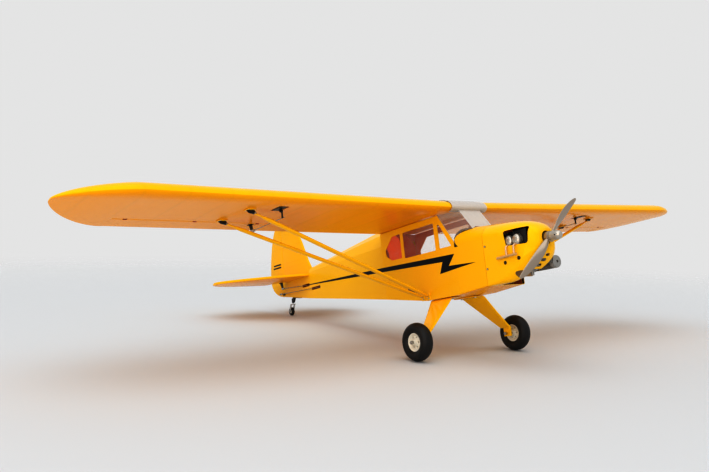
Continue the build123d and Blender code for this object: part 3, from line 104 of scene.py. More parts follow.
def mixed(tree, share, first, second):
    """Colour mix of two colours or sockets."""
    node = tree.nodes.new("ShaderNodeMix")
    node.data_type = "RGBA"
    for index, value in ((0, share), (6, first), (7, second)):
        feed(tree, node.inputs[index], value)
    return node.outputs[2]


def split(tree, vector):
    """The X, Y and Z outputs of a vector."""
    node = tree.nodes.new("ShaderNodeSeparateXYZ")
    tree.links.new(vector, node.inputs[0])
    return node.outputs


def facing(tree):
    """The X, Y and Z outputs of the surface's normal."""
    return split(tree, tree.nodes.new("ShaderNodeNewGeometry").outputs["Normal"])


def noise(tree, coords, scale, detail=3.0, stretch=(1, 1, 1)):
    """Noise value on object coordinates, stretched per axis."""
    mapping = tree.nodes.new("ShaderNodeMapping")
    mapping.inputs["Scale"].default_value = stretch
    tree.links.new(coords, mapping.inputs["Vector"])
    node = tree.nodes.new("ShaderNodeTexNoise")
    node.inputs["Scale"].default_value = scale
    node.inputs["Detail"].default_value = detail
    tree.links.new(mapping.outputs[0], node.inputs["Vector"])
    return node.outputs["Fac"]


def bumped(tree, shader, height, strength, distance):
    """Adds a bump to the shader, on top of any bump already there."""
    bump = tree.nodes.new("ShaderNodeBump")
    bump.inputs["Strength"].default_value = strength
    bump.inputs["Distance"].default_value = distance
    tree.links.new(height, bump.inputs["Height"])
    links = shader.inputs["Normal"].links
    if links:
        tree.links.new(links[0].from_socket, bump.inputs["Normal"])
    tree.links.new(bump.outputs[0], shader.inputs["Normal"])


MOTTLE_SHARE = 0.12
GLOSS_SPREAD = 0.12
COAT_ROUGH = 0.08


def plain(name, base, rough=0.4, metal=0.0, vary=0.12, grain=180.0, bump=0.15, depth=0.0002,
          coat=0.0, specular=0.5, stretch=(1, 1, 1)):
    """A one-colour finish with mottled tone, uneven gloss and a fine surface grain."""
    mat, tree, shader = nodes_of(name)
    coords = datum_coords(tree)
    broad = noise(tree, coords, grain * MOTTLE_SHARE, 2.0)
    fine = noise(tree, coords, grain, 4.0, stretch)
    dark = [channel * (1 - vary) for channel in base]
    light = [min(1.0, channel * (1 + vary * 0.6)) for channel in base]
    tree.links.new(mixed(tree, broad, dark, light), shader.inputs["Base Color"])
    rough_out = maths(tree, "MULTIPLY_ADD", fine, GLOSS_SPREAD, rough - GLOSS_SPREAD / 2)
    tree.links.new(rough_out, shader.inputs["Roughness"])
    shader.inputs["Metallic"].default_value = metal
    shader.inputs["Specular IOR Level"].default_value = specular
    shader.inputs["Coat Weight"].default_value = coat
    shader.inputs["Coat Roughness"].default_value = COAT_ROUGH
    bumped(tree, shader, fine, bump, depth)
    return mat


YELLOW = (0.98, 0.56, 0.006)
SHEEN = (1.0, 0.60, 0.09, 1)
# Deeper orange for film that faces down: painted shade
PAINTED_SHADE_ORANGE = (1.0, 0.43, 0.003)
DASH_BLACK = (0.008, 0.008, 0.009)
RIB_PITCH = 95.0
DRIFT_SCALE = 5.0
WRINKLE_SCALE = 26.0
DUST_SCALE = 420.0
# The dark dash on the nose deck, in metres: aft of a raked crease, inside two tapering edges, above the sill
DASH_RAKE, DASH_FOOT = -0.76, -0.001
DASH_TAPER, DASH_HALF = 0.4186, 0.0378
DASH_SILL = -0.094


def film(name, base, pitch=None, across="Y", phase=12.0, wrinkle=0.35, shade=False):
    """Glossy iron-on film: tone drift, painted shade turning down-facing film deeper orange, drum wrinkles,
    rib lines at a pitch and the dark dash if shaded.
    """
    mat, tree, shader = nodes_of(name)
    coords = datum_coords(tree)
    axes = split(tree, coords)
    broad = noise(tree, coords, DRIFT_SCALE, 2.0)
    wrinkles = noise(tree, coords, WRINKLE_SCALE, 2.0, (0.5, 2.2, 1.0))
    dust = noise(tree, coords, DUST_SCALE, 3.0)
    deep = [channel * 0.86 for channel in base]
    colour = mixed(tree, broad, deep, base)
    # Painted shade: the more the film faces down, the more it turns deeper orange
    painted_shade_share = maths(tree, "MULTIPLY", maths(tree, "MINIMUM", facing(tree)["Z"], 0.0), -1.0)
    colour = mixed(tree, painted_shade_share, colour, PAINTED_SHADE_ORANGE)
    shader.inputs["Specular IOR Level"].default_value = 0.28
    shader.inputs["Specular Tint"].default_value = SHEEN
    tree.links.new(maths(tree, "MULTIPLY_ADD", dust, 0.10, 0.17), shader.inputs["Roughness"])
    bumped(tree, shader, wrinkles, wrinkle, 0.0012)
    bumped(tree, shader, dust, 0.05, 0.0001)
    if pitch:
        place = maths(tree, "ABSOLUTE", axes[across])
        turn = maths(tree, "MULTIPLY_ADD", place, 2 * pi / (pitch * MM), -2 * pi * phase / pitch)
        ridge = maths(tree, "POWER", maths(tree, "MAXIMUM", maths(tree, "COSINE", turn), 0.0), 30.0)
        bumped(tree, shader, ridge, 0.15, 0.0006)
        colour = mixed(tree, maths(tree, "MULTIPLY", ridge, 0.07), colour, [c * 0.55 for c in base])
    if shade:
        crease = maths(tree, "MULTIPLY_ADD", axes["Z"], DASH_RAKE, DASH_FOOT)
        behind = maths(tree, "SUBTRACT", crease, axes["X"])
        flank = maths(tree, "SUBTRACT", maths(tree, "MULTIPLY_ADD", behind, DASH_TAPER, DASH_HALF),
                      maths(tree, "ABSOLUTE", axes["Y"]))
        high = maths(tree, "GREATER_THAN", axes["Z"], DASH_SILL)
        covered = maths(tree, "MULTIPLY", maths(tree, "GREATER_THAN", behind, 0.0),
                        maths(tree, "GREATER_THAN", flank, 0.0))
        colour = mixed(tree, maths(tree, "MULTIPLY", covered, high), colour, DASH_BLACK)
    tree.links.new(colour, shader.inputs["Base Color"])
    return mat


def clear(name, tint, alpha, rough=0.04):
    """Thin clear plastic with a faint haze of fine scratches; returns its alpha socket too."""
    mat, tree, shader = nodes_of(name)
    coords = datum_coords(tree)
    haze = noise(tree, coords, 60.0, 4.0, (1, 3, 1))
    colour = mixed(tree, haze, tint, [min(1, c * 1.1) for c in tint])
    tree.links.new(colour, shader.inputs["Base Color"])
    tree.links.new(maths(tree, "MULTIPLY_ADD", haze, 0.06, rough), shader.inputs["Roughness"])
    seen = maths(tree, "MULTIPLY_ADD", haze, 0.08, alpha)
    tree.links.new(seen, shader.inputs["Alpha"])
    shader.inputs["Specular IOR Level"].default_value = 0.5
    return mat, seen


# Where light comes through the covering, in metres, and how strongly the inside shines there and elsewhere
GLOW_FRONT, GLOW_REAR = -0.354, -0.55
GLOW, FAINT_GLOW = 0.42, 0.05


def film_inside():
    """Inside of the covering: brown in the cabin, glowing orange aft of it where light comes through."""
    mat = plain("film_inside", (0.50, 0.12, 0.035), rough=0.5, vary=0.25, grain=90.0)
    tree = mat.node_tree
    shader = tree.nodes["Principled BSDF"]
    x = split(tree, datum_coords(tree))["X"]
    shader.inputs["Emission Color"].default_value = (0.90, 0.12, 0.006, 1)
    aft = maths(tree, "MULTIPLY", maths(tree, "LESS_THAN", x, GLOW_FRONT),
                maths(tree, "GREATER_THAN", x, GLOW_REAR))
    tree.links.new(maths(tree, "MULTIPLY_ADD", aft, GLOW, FAINT_GLOW), shader.inputs["Emission Strength"])
    return mat


# Faces turned less than this far to the side get a painted reflection, more opaque in the screen's pale tint
SIDE_FACING = 0.42
FRONT_PAINTED_REFLECTION = 0.62


def windscreen_moulding():
    """Clear side faces; where the moulding bends over the front and the wing it is made more opaque in its
    pale tint, as a painted reflection.
    """
    mat, seen = clear("clear_screen", (0.66, 0.62, 0.58), 0.10)
    tree = mat.node_tree
    # Painted reflection: faces that bend over the front and the wing are made more opaque
    front = maths(tree, "LESS_THAN", maths(tree, "ABSOLUTE", facing(tree)["Y"]), SIDE_FACING)
    opacity = maths(tree, "MULTIPLY_ADD", front, FRONT_PAINTED_REFLECTION, seen)
    tree.links.new(opacity, tree.nodes["Principled BSDF"].inputs["Alpha"])
    return mat


def wooden(name, base, along="X"):
    """Balsa or ply: stretched grain and soft pores."""
    stretch = {"X": (0.15, 3, 3), "Y": (3, 0.15, 3)}[along]
    return plain(name, base, rough=0.65, vary=0.3, grain=260.0, bump=0.3, depth=0.0003, stretch=stretch)


WING_FILM = film("wing_film", YELLOW, RIB_PITCH)
BODY_FILM = film("body_film", YELLOW, wrinkle=0.22)
NOSE_FILM = film("nose_film", YELLOW, wrinkle=0.12, shade=True)
TAIL_FILM = film("tail_film", YELLOW, 62.0, wrinkle=0.3)
FIN_FILM = film("fin_film", YELLOW, 58.0, across="Z", phase=8.0, wrinkle=0.3)
INNER_FILM = film_inside()
COWL_PAINT = plain("cowl_paint", YELLOW, rough=0.15, vary=0.05, grain=60.0, bump=0.03, specular=0.45)
COWL_PAINT.node_tree.nodes["Principled BSDF"].inputs["Specular Tint"].default_value = SHEEN
STRIPE_BLACK = plain("stripe_black", (0.004, 0.004, 0.005), rough=0.3, vary=0.3, grain=80.0, bump=0.05,
                     specular=0.2)
NYLON = plain("black_nylon", (0.012, 0.012, 0.013), rough=0.42, vary=0.3, grain=500.0)
WHITE_NYLON = plain("white_nylon", (0.72, 0.70, 0.62), rough=0.38, vary=0.06, grain=300.0)
CREAM = plain("hub_cream", (0.72, 0.70, 0.62), rough=0.35, vary=0.06, grain=220.0, coat=0.1)
STEEL = plain("steel", (0.50, 0.49, 0.47), rough=0.28, metal=1.0, vary=0.12, grain=700.0, stretch=(0.2, 2, 2))
CAST = plain("cast_alloy", (0.42, 0.41, 0.39), rough=0.45, metal=0.9, vary=0.2, grain=900.0, bump=0.5,
             depth=0.0003)
DARK_CAST = plain("muffler_cast", (0.20, 0.19, 0.175), rough=0.42, metal=0.9, vary=0.25, grain=800.0,
                  bump=0.5, depth=0.0003)
# Silver pipe with a warm bronze tone: a painted reflection of the yellow around it
PIPE = plain("silver_pipe_painted_reflection", (0.72, 0.50, 0.24), rough=0.35, metal=0.4, vary=0.25, grain=300.0)
BLADE_FINISH = plain("blade_finish", (0.44, 0.375, 0.31), rough=0.30, metal=0.8, vary=0.10, grain=60.0,
                     bump=0.02, stretch=(1, 1, 0.3))
SATIN = plain("satin_alloy", (0.56, 0.525, 0.47), rough=0.33, metal=0.85, vary=0.10, grain=400.0, bump=0.05)
STUB = plain("stub_pipe", (0.72, 0.50, 0.34), rough=0.35, metal=0.5, vary=0.15, grain=300.0)
RUBBER = plain("tyre_rubber", (0.010, 0.010, 0.010), rough=0.55, vary=0.35, grain=650.0, bump=0.4,
               depth=0.0003)
BALSA = wooden("balsa", (0.62, 0.42, 0.20))
PLY = wooden("ply", (0.50, 0.30, 0.13), "Y")
TANK = plain("tank_plastic", (0.75, 0.74, 0.68), rough=0.4, vary=0.06, grain=120.0)
CASE = plain("servo_case", (0.018, 0.018, 0.020), rough=0.35, vary=0.25, grain=400.0)
PANEL = plain("panel_black", (0.012, 0.012, 0.014), rough=0.5, vary=0.25, grain=500.0)
PANE = clear("clear_pane", (0.80, 0.82, 0.82), 0.02)[0]
SCREEN = windscreen_moulding()


# ------------ mesh helpers
def skin(bm, loops, mat=0, caps=True):
    """Surface through loops that all have the same number of points."""
    rows = [[bm.verts.new([c * MM for c in point]) for point in loop] for loop in loops]
    count = len(rows[0])
    for near, far in zip(rows, rows[1:]):
        for i in range(count):
            j = (i + 1) % count
            bm.faces.new((near[i], near[j], far[j], far[i])).material_index = mat
    if caps:
        bm.faces.new(rows[0]).material_index = mat
        bm.faces.new(list(reversed(rows[-1]))).material_index = mat


def axes_about(direction):
    """Unit vector along the direction and two more square to it."""
    along = Vector(direction).normalized()
    helper = Vector((0, 0, 1)) if abs(along.z) < 0.9 else Vector((1, 0, 0))
    first = along.cross(helper).normalized()
    return along, first, along.cross(first)


def circle(steps):
    """Cosine and sine at equal steps round a circle."""
    return [(cos(2 * pi * k / steps), sin(2 * pi * k / steps)) for k in range(steps)]


def squarish(value, power):
    """A cosine or sine pushed towards its limits, so that a round section turns squarer."""
    return abs(value) ** power * copysign(1, value)


def mirror(profile):
    """The other half of a profile, in the order that continues it."""
    return [(-a, b) for a, b in reversed(profile)]


def turned(bm, centre, direction, profile, mat=0, steps=48, closed=False):
    """A turned shape: profile points are (distance along the axis, radius)."""
    along, first, second = axes_about(direction)
    loops = []
    for distance, radius in profile:
        reach = max(radius, 0.01)
        middle = Vector(centre) + along * distance
        loops.append([middle + first * reach * c + second * reach * s for c, s in circle(steps)])
    if closed:
        loops.append(loops[0])
    skin(bm, loops, mat, not closed)


def tube(bm, path, radius, mat=0, sides=14):
    """Round rod or pipe along a path; radius may be one value or one per point."""
    points = [Vector(point) for point in path]
    loops = []
    side = None
    for k, point in enumerate(points):
        before = points[max(k - 1, 0)]
        after = points[min(k + 1, len(points) - 1)]
        along = (after - before).normalized()
        if side is None:
            side = axes_about(along)[1]
        side = (side - along * side.dot(along)).normalized()
        other = along.cross(side)
        size = radius[k] if isinstance(radius, (list, tuple)) else radius
        loops.append([point + side * size * c + other * size * s for c, s in circle(sides)])
    skin(bm, loops, mat)


def softened(fresh, edges, size, segments, profile=0.5):
    """Rounds some edges of a bmesh."""
    bmesh.ops.bevel(fresh, geom=edges, offset=size * MM, segments=segments, affect="EDGES", profile=profile)


def slab(bm, low, high, mat=0, edge=0.4):
    """A block between two corners with softened edges."""
    fresh = bmesh.new()
    bmesh.ops.create_cube(fresh, size=1.0)
    for vert in fresh.verts:
        for axis in range(3):
            middle = (low[axis] + high[axis]) / 2
            vert.co[axis] = (middle + vert.co[axis] * abs(high[axis] - low[axis])) * MM
    if edge:
        softened(fresh, fresh.edges[:], edge, 2, 0.6)
    pour(bm, fresh, mat)


def pour(bm, fresh, mat):
    """Moves a small bmesh into a bigger one, all in one material."""
    copied = {vert: bm.verts.new(vert.co) for vert in fresh.verts}
    for face in fresh.faces:
        new = bm.faces.new([copied[vert] for vert in face.verts])
        new.material_index = mat
    fresh.free()


def prism(near, far):
    """A new bmesh: the solid between two outlines with as many points."""
    fresh = bmesh.new()
    low, high = ([fresh.verts.new([c * MM for c in point]) for point in outline] for outline in (near, far))
    fresh.faces.new(low)
    fresh.faces.new(list(reversed(high)))
    for i in range(len(low)):
        j = (i + 1) % len(low)
        fresh.faces.new((low[i], high[i], high[j], low[j]))
    return fresh


def board(bm, outline, place, half, mat=0, edge=0.5, segments=3):
    """A flat board: outline is in 2D, place(a, b, c) gives the point, c runs through the thickness."""
    fresh = prism(*([place(a, b, c) for a, b in outline] for c in (-half, half)))
    bmesh.ops.recalc_face_normals(fresh, faces=fresh.faces[:])
    rims = [e for e in fresh.edges if sorted(len(f.verts) for f in e.link_faces) == [4, len(outline)]]
    softened(fresh, rims, edge, segments)
    pour(bm, fresh, mat)


def shown(name, data):
    """A new object in the scene."""
    obj = bpy.data.objects.new(name, data)
    bpy.context.scene.collection.objects.link(obj)
    return obj


def built(bm, name, materials, sharp=35.0):
    """Turns a bmesh into an object, still in the level datum."""
    bmesh.ops.remove_doubles(bm, verts=bm.verts[:], dist=0.000001)
    bmesh.ops.recalc_face_normals(bm, faces=bm.faces[:])
    mesh = bpy.data.meshes.new(name)
    bm.to_mesh(mesh)
    bm.free()
    for mat in materials:
        mesh.materials.append(mat)
    mesh.shade_smooth()
    mesh.set_sharp_from_angle(angle=radians(sharp))
    return shown(name, mesh)


def cutter(mat, draw, *shape, **options):
    """A mesh to cut out of another, drawn by one of the functions above."""
    bm = bmesh.new()
    draw(bm, *shape, **options)
    return built(bm, "cutter", [mat])


def opening(outline, mat, half, rounding=0.0, segments=4):
    """A cutter from side to side with a side-view outline, its corners rounded."""
    fresh = prism(*([(a, y, b) for a, b in outline] for y in (-half, half)))
    if rounding:
        across = [e for e in fresh.edges if abs(e.verts[0].co.y - e.verts[1].co.y) > half * MM]
        softened(fresh, across, rounding, segments)
    return cutter(mat, pour, fresh, 0)


def placed(obj, body, slot, *nodes):
    """Puts a piece in the row frame, attaches it to its body and hides the CAD nodes it stands for; its slot
    is not used.
    """
    obj.data.transform(LEVEL)
    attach(obj, body)
    if nodes:
        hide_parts(*nodes)
    return obj


def carved(obj, cutters, sharp=35.0):
    """Cuts other meshes out of an object for good."""
    for cutter in cutters:
        cut = obj.modifiers.new("cut", "BOOLEAN")
        cut.operation = "DIFFERENCE"
        cut.solver = "EXACT"
        cut.material_mode = "TRANSFER"
        cut.object = cutter
    seen = bpy.context.evaluated_depsgraph_get()
    mesh = bpy.data.meshes.new_from_object(obj.evaluated_get(seen))
    obj.modifiers.clear()
    obj.data = mesh
    for cutter in cutters:
        bpy.data.objects.remove(cutter)
    mesh.shade_smooth()
    mesh.set_sharp_from_angle(angle=radians(sharp))
    return obj


def smooth_line(points, steps=6):
    """Catmull-Rom line through the points, any number of coordinates each."""
    out = []
    for k in range(len(points) - 1):
        before = points[max(k - 1, 0)]
        after = points[min(k + 2, len(points) - 1)]
        for n in range(steps):
            t = n / steps
            row = []
            for a, b, c, d in zip(before, points[k], points[k + 1], after):
                row.append(0.5 * (2 * b + (c - a) * t + (2 * a - 5 * b + 4 * c - d) * t**2
                                  + (3 * b - a - 3 * c + d) * t**3))
            out.append(tuple(row))
    out.append(tuple(points[-1]))
    return out


SIDES = ((1, "left"), (-1, "right"))


def upright(a, b, c):
    """Side view: a forward, b up, thickness across."""
    return (a, c, b)


def level_at(height):
    """Plan view at a height: a forward, b to port, thickness up."""
    return lambda a, b, c: (a, b, height + c)


# ------------ wing
SPAN = 2030.0
CHORD = 303.0
WING_THICKNESS = 36.0
NOSE_HEIGHT = 9.0
TRAILING_EDGE = 1.6
CROWN_AT = 0.3
NOSE_SHARE = 0.12
THICKNESS_TERMS = ((0.5, 2.969), (1, -1.26), (2, -3.516), (3, 2.843), (4, -1.036))
TILT = radians(1.0)
WING_OUT = Vector((-sin(TILT) * sin(TILT), cos(TILT), cos(TILT) * sin(TILT)))
WING_AFT = Vector((-cos(TILT), 0, -sin(TILT)))
WING_UP = WING_OUT.cross(WING_AFT)
ROOT = 0.8
RIB_AT = 12.0
TIP_START = 865.0
TIP_RISE = 12.0
TIP_CENTRE = 0.42
TIP_SHARE = 0.985
TIP_SHAPE = (1.6, 1.5)
TIP_STEPS = 24
BAY_STEPS = 8
WING_SAG = 0.9
AILERON_SAG = 0.5
SAG_POWER = 0.7
AILERON = (470.0, 860.0)
HINGE_SHARE = 0.76
HINGE_AFT = HINGE_SHARE * CHORD
CONTROL_GAP = 0.5
SHEETED = 0.28


def upper(share):
    """Height of the wing's top surface."""
    swell = sum(factor * share**power for power, factor in THICKNESS_TERMS)
    rest = WING_THICKNESS - NOSE_HEIGHT * (1 - CROWN_AT)
    return NOSE_HEIGHT * (1 - share) + rest * swell + TRAILING_EDGE * share


def lower(share):
    """Height of the wing's bottom surface."""
    if share >= NOSE_SHARE:
        return 0.0
    return NOSE_HEIGHT * (1 - sqrt(1 - (1 - share / NOSE_SHARE)**2))


HINGE_UP = upper(HINGE_SHARE) / 2
NOSE_RADIUS = HINGE_UP - 0.3
BAY_FRONT = HINGE_AFT - NOSE_RADIUS - CONTROL_GAP


def wing_point(aft, up, out, side=1):
    """Level-datum point from the wing's own directions."""
    point = WING_AFT * aft + WING_UP * up + WING_OUT * out
    return Vector((point.x, side * point.y, point.z))


def wing_loop(out, side, chord, aft, rise, sag, stop):
    """One closed section of the wing; sag draws the film in between ribs, stop ends it early."""
    points = []
    scale = chord / CHORD
    tops = [0.5 * (1 + cos(pi * n / 26)) for n in range(27)]
    bottoms = [0.5 * (1 - cos(pi * n / 16)) for n in range(1, 17)]
    for share in tops:
        drop = sag * max(0.0, min(1.0, (share - SHEETED) / 0.1)) * min(1.0, (1 - share) / 0.12)
        points.append((share * chord, upper(share) * scale - drop))
    for share in bottoms:
        lift = 0.5 * sag * max(0.0, min(1.0, (share - 0.12) / 0.1)) * min(1.0, (1 - share) / 0.12)
        points.append((share * chord, lower(share) * scale + lift))
    if stop:
        roof = upper(stop / CHORD)
        points = [(x, y) if x < stop else (stop, roof if n < len(tops) else 0.0)
                  for n, (x, y) in enumerate(points)]
    return [wing_point(aft + x, rise + y, out, side) for x, y in points]


def wing_panel(side):
    """Film-covered panel with ribs telegraphing through, an aileron bay and a rounded tip."""
    bm = bmesh.new()
    stations = [(ROOT, 0.0)]
    bays = int((TIP_START - RIB_AT) / RIB_PITCH)
    for bay in range(bays):
        for part in range(BAY_STEPS):
            sag = WING_SAG * sin(pi * part / BAY_STEPS)**SAG_POWER
            stations.append((RIB_AT + (bay + part / BAY_STEPS) * RIB_PITCH, sag))
    stations.append((RIB_AT + bays * RIB_PITCH, 0.0))
    edges = []
    for out, sag in stations:
        inside = AILERON[0] < out < AILERON[1]
        edges.append((out, sag, BAY_FRONT if inside else None))
    for bound, order in ((AILERON[0], (None, BAY_FRONT)), (AILERON[1], (BAY_FRONT, None))):
        for step, stop in enumerate(order):
            edges.append((bound + step * 0.001, 0.3, stop))
    edges.sort(key=lambda row: row[0])
    loops = [wing_loop(out, side, CHORD, 0, 0, sag, stop) for out, sag, stop in edges]
    reach = (SPAN / 2 / cos(TILT) - TIP_START) / TIP_SHARE
    for step in range(1, TIP_STEPS + 1):
        share = TIP_SHARE * sin(pi / 2 * step / TIP_STEPS)
        chord = CHORD * (1 - share**TIP_SHAPE[0]) ** (1 / TIP_SHAPE[1])
        loops.append(wing_loop(TIP_START + share * reach, side, chord, TIP_CENTRE * (CHORD - chord),
                               TIP_RISE * share**2, 0.0, None))
    skin(bm, loops)
    return bm


POCKET_AFT = (47.0, 91.0)
POCKET_OUT = (514.0, 540.0)


def wing_block(aft, out, up, side):
    """A cutter box in the wing's own directions."""
    corners = ((aft[0], up[0]), (aft[1], up[0]), (aft[1], up[1]), (aft[0], up[1]))
    ends = [[wing_point(a, b, distance, side) for a, b in corners] for distance in out]
    return cutter(INNER_FILM, skin, ends)


NOTCHES = (500.0, 665.0, 830.0)
NOTCH_HALF = 5

for side, hand in SIDES:
    panel = built(wing_panel(side), f"wing_panel_{hand}", [WING_FILM], 40.0)
    carved(panel, [wing_block(POCKET_AFT, POCKET_OUT, (-5.0, 20.0), side)], 40.0)
    placed(panel, "airframe", "film", f"wing_{hand}")

    bm = bmesh.new()
    loops = []
    for step in range(41):
        out = AILERON[0] + CONTROL_GAP + (AILERON[1] - AILERON[0] - 2 * CONTROL_GAP) * step / 40
        draw = AILERON_SAG * abs(sin(pi * (out - RIB_AT) / RIB_PITCH)) ** SAG_POWER
        loop = []
        for turn in range(13):
            angle = pi / 2 + pi * turn / 12
            loop.append((HINGE_AFT + NOSE_RADIUS * cos(angle), HINGE_UP + NOSE_RADIUS * sin(angle)))
        foot = HINGE_UP - NOSE_RADIUS
        for part in range(1, 7):
            share = part / 7
            loop.append((HINGE_AFT + (CHORD - 0.6 - HINGE_AFT) * share, foot + draw * 0.5 * sin(pi * share)))
        loop += [(CHORD - 0.4, 0.45), (CHORD - 0.3, 0.9), (CHORD - 0.4, 1.5)]
        for part in range(1, 7):
            share = 1 - part / 7
            height = TRAILING_EDGE + (HINGE_UP + NOSE_RADIUS - TRAILING_EDGE) * (1 - share)
            loop.append((HINGE_AFT + (CHORD - 0.6 - HINGE_AFT) * share, height - draw * sin(pi * share)))
        loops.append([wing_point(a, b, out, side) for a, b in loop])
    skin(bm, loops)
    aileron = built(bm, f"aileron_flap_{hand}", [WING_FILM], 40.0)
    notches = [wing_block((BAY_FRONT - 5, HINGE_AFT + 3), (at - NOTCH_HALF, at + NOTCH_HALF), (-5, 30), side)
               for at in NOTCHES]
    carved(aileron, notches, 40.0)
    placed(aileron, f"aileron_{hand}_turn", "film", f"aileron_{hand}")

# ------------ fuselage
CABIN_HALF = 65.0
SKIN = 1.2
DECK_FRONT = 90.0
CABIN_FRONT = -5.0
DECK_END = -764.0
STERN = -952.0
SILL = -90.0
TAIL_TOP = -59.1
STAB_HEIGHT = -55.0
NOSE_ROWS = ((DECK_FRONT, 61.0, -206.0, -92.0, -53.0), (CABIN_FRONT, CABIN_HALF, -214.0, -90.0, -43.0))
AFT_ROWS = ((CABIN_REAR, CABIN_HALF, -191.5, -85.0, 19.0), (-558.0, 41.3, -159.6, -68.0, -9.0),
            (DECK_END, 22.9, -134.5, -60.0, -32.0))
CABIN_ROWS = ((CABIN_FRONT, -214.0), (-60.0, -215.0), (-135.0, -215.0), (CABIN_REAR, -191.5))
TAIL_ROWS = ((DECK_END, 22.9, -134.5), (STERN, 6.0, -108.5))
SHOULDERS = ((0.96, 0.42), (0.76, 0.78), (0.36, 1.0))
QUARTER_WINDOW = ((-16, SILL + 2), (-61, SILL + 2), (-61, -25), (-55, -25))
DOOR_WINDOW = ((-76, SILL), (-204, SILL), (-204, -20), (-76, -18))
REAR_WINDOW = ((-216, SILL + 3), (-262, SILL + 3), (-284, SILL + 18), (-286, -56), (-252, -22), (-216, -20))
WINDOWS = (QUARTER_WINDOW, DOOR_WINDOW, REAR_WINDOW)


def decked(x, half, base, sill, crown, inset=0.0):
    """Section with a stringered deck."""
    wide = half - inset
    rise = crown - inset - sill
    side = [(wide, base + inset), (wide, sill)]
    side += [(wide * across, sill + rise * up) for across, up in SHOULDERS]
    return [(x, y, z) for y, z in side] + [(x, -y, z) for y, z in reversed(side)]


def boxed(x, half, base, top, inset=0.0):
    """Square section with as many points as a decked one."""
    wide = half - inset
    side = [(wide, base + inset), (wide, top - 12), (wide, top), (wide * 0.6, top), (wide * 0.2, top)]
    return [(x, y, z) for y, z in side] + [(x, -y, z) for y, z in reversed(side)]


DECK_POWER = 2.35


def cowl_loop(x, half, base, sill, crown, corner, inset=0.0):
    """Rounded section: flat sides, tight lower corners, elliptic top."""
    wide = half - inset
    bottom = base + inset
    rise = crown - inset - sill
    corner = max(1.0, corner - inset)
    side = [(0.0, bottom), (0.5 * (wide - corner), bottom)]
    for step in range(7):
        angle = -pi / 2 + pi / 2 * step / 6
        side.append((wide - corner + corner * cos(angle), bottom + corner + corner * sin(angle)))
    side.append((wide, 0.5 * (bottom + corner + sill)))
    for step in range(13):
        angle = pi / 2 * step / 12
        side.append((wide * cos(angle) ** (2 / DECK_POWER), sill + rise * sin(angle) ** (2 / DECK_POWER)))
    side[-1] = (0.0, sill + rise)
    return [(x, y, z) for y, z in side] + [(x, -y, z) for y, z in reversed(side[1:-1])]


def seat(x):
    """Height of the wing seat."""
    return x * sin(TILT) - 0.3


bm = bmesh.new()
loops = [boxed(x, CABIN_HALF, base, seat(x)) for x, base in CABIN_ROWS]
# One more section just aft of the cabin keeps the step's shading off the long side
STEP_SHARE = 0.02
step_row = [first + (second - first) * STEP_SHARE for first, second in zip(*AFT_ROWS[:2])]
loops += [decked(*row) for row in (AFT_ROWS[0], step_row, *AFT_ROWS[1:])]
loops += [boxed(*row, TAIL_TOP) for row in TAIL_ROWS]
skin(bm, loops)
shell = built(bm, "fuselage_shell", [BODY_FILM, INNER_FILM])

bm = bmesh.new()
loops = []
cabin = [list(row) for row in CABIN_ROWS]
cabin[0][0] += SKIN
cabin[-1][0] += SKIN
loops += [boxed(x, CABIN_HALF, base, seat(x) + 10, SKIN) for x, base in cabin]
loops.append(boxed(cabin[-1][0], CABIN_HALF, cabin[-1][1], seat(CABIN_REAR) - 4, SKIN))
loops.append(decked(AFT_ROWS[0][0] - SKIN, *AFT_ROWS[0][1:], SKIN))
loops += [decked(*row, SKIN) for row in AFT_ROWS[1:]]
loops += [boxed(TAIL_ROWS[0][0], *TAIL_ROWS[0][1:], TAIL_TOP - SKIN, SKIN)]
loops += [boxed(STERN + SKIN, *TAIL_ROWS[1][1:], TAIL_TOP - SKIN, SKIN)]
skin(bm, loops)
hollow = built(bm, "hollow", [INNER_FILM])

cutters = [hollow]
PILLAR_FOOT = 1.4
PILLAR_RAKE = 0.648
pillar_low = SILL + (PILLAR_FOOT - CABIN_FRONT) / PILLAR_RAKE
pillar_cut = ((CABIN_FRONT + 9, pillar_low), (CABIN_FRONT, pillar_low),
              (PILLAR_FOOT + PILLAR_RAKE * (SILL - 1), 1), (CABIN_FRONT + 9, 1))
cutters += [opening(outline, BODY_FILM, 75, 3.0) for outline in WINDOWS]
cutters.append(opening(pillar_cut, BODY_FILM, 75))
TAIL_SLOTS = (((-815, -60, -93), (-764, -8, -84)), ((-750, -60, -109), (-690, -8, -100.5)))
cutters += [cutter(INNER_FILM, slab, low, high, 0, 2.0) for low, high in TAIL_SLOTS]
carved(shell, cutters, 12.0)
placed(shell, "airframe", "film", "fuselage")

# Rounded nose deck between the cabin and the cowl, dark under the windscreen
bm = bmesh.new()
nose_steps = [0.0, 0.1, 0.25, 0.4, 0.55, 0.7, 0.85, 1.0]
front, dash = NOSE_ROWS


def nose_loop(share, ahead_by, inset):
    """Section of the nose deck at a share of the way forward."""
    x, half, base, sill, crown = [b + (a - b) * share for a, b in zip(front, dash)]
    return cowl_loop(x + ahead_by, half, base, sill, crown, 2.0 + 1.0 * share, inset)


skin(bm, [nose_loop(share, 0.0, 0.0) for share in nose_steps])
nose = built(bm, "nose_deck", [NOSE_FILM, INNER_FILM], 30.0)
nose_inside = [nose_loop(share, ahead_by, SKIN)
               for share, ahead_by in ((0.0, -4.0), (0.0, 0.0), (1.0, 0.0), (1.0, 4.0))]
carved(nose, [cutter(INNER_FILM, skin, nose_inside)], 30.0)
placed(nose, "airframe", "film", "fuselage")

# ------------ side stripe and tail blocks
STRIPE_PROUD = 0.22


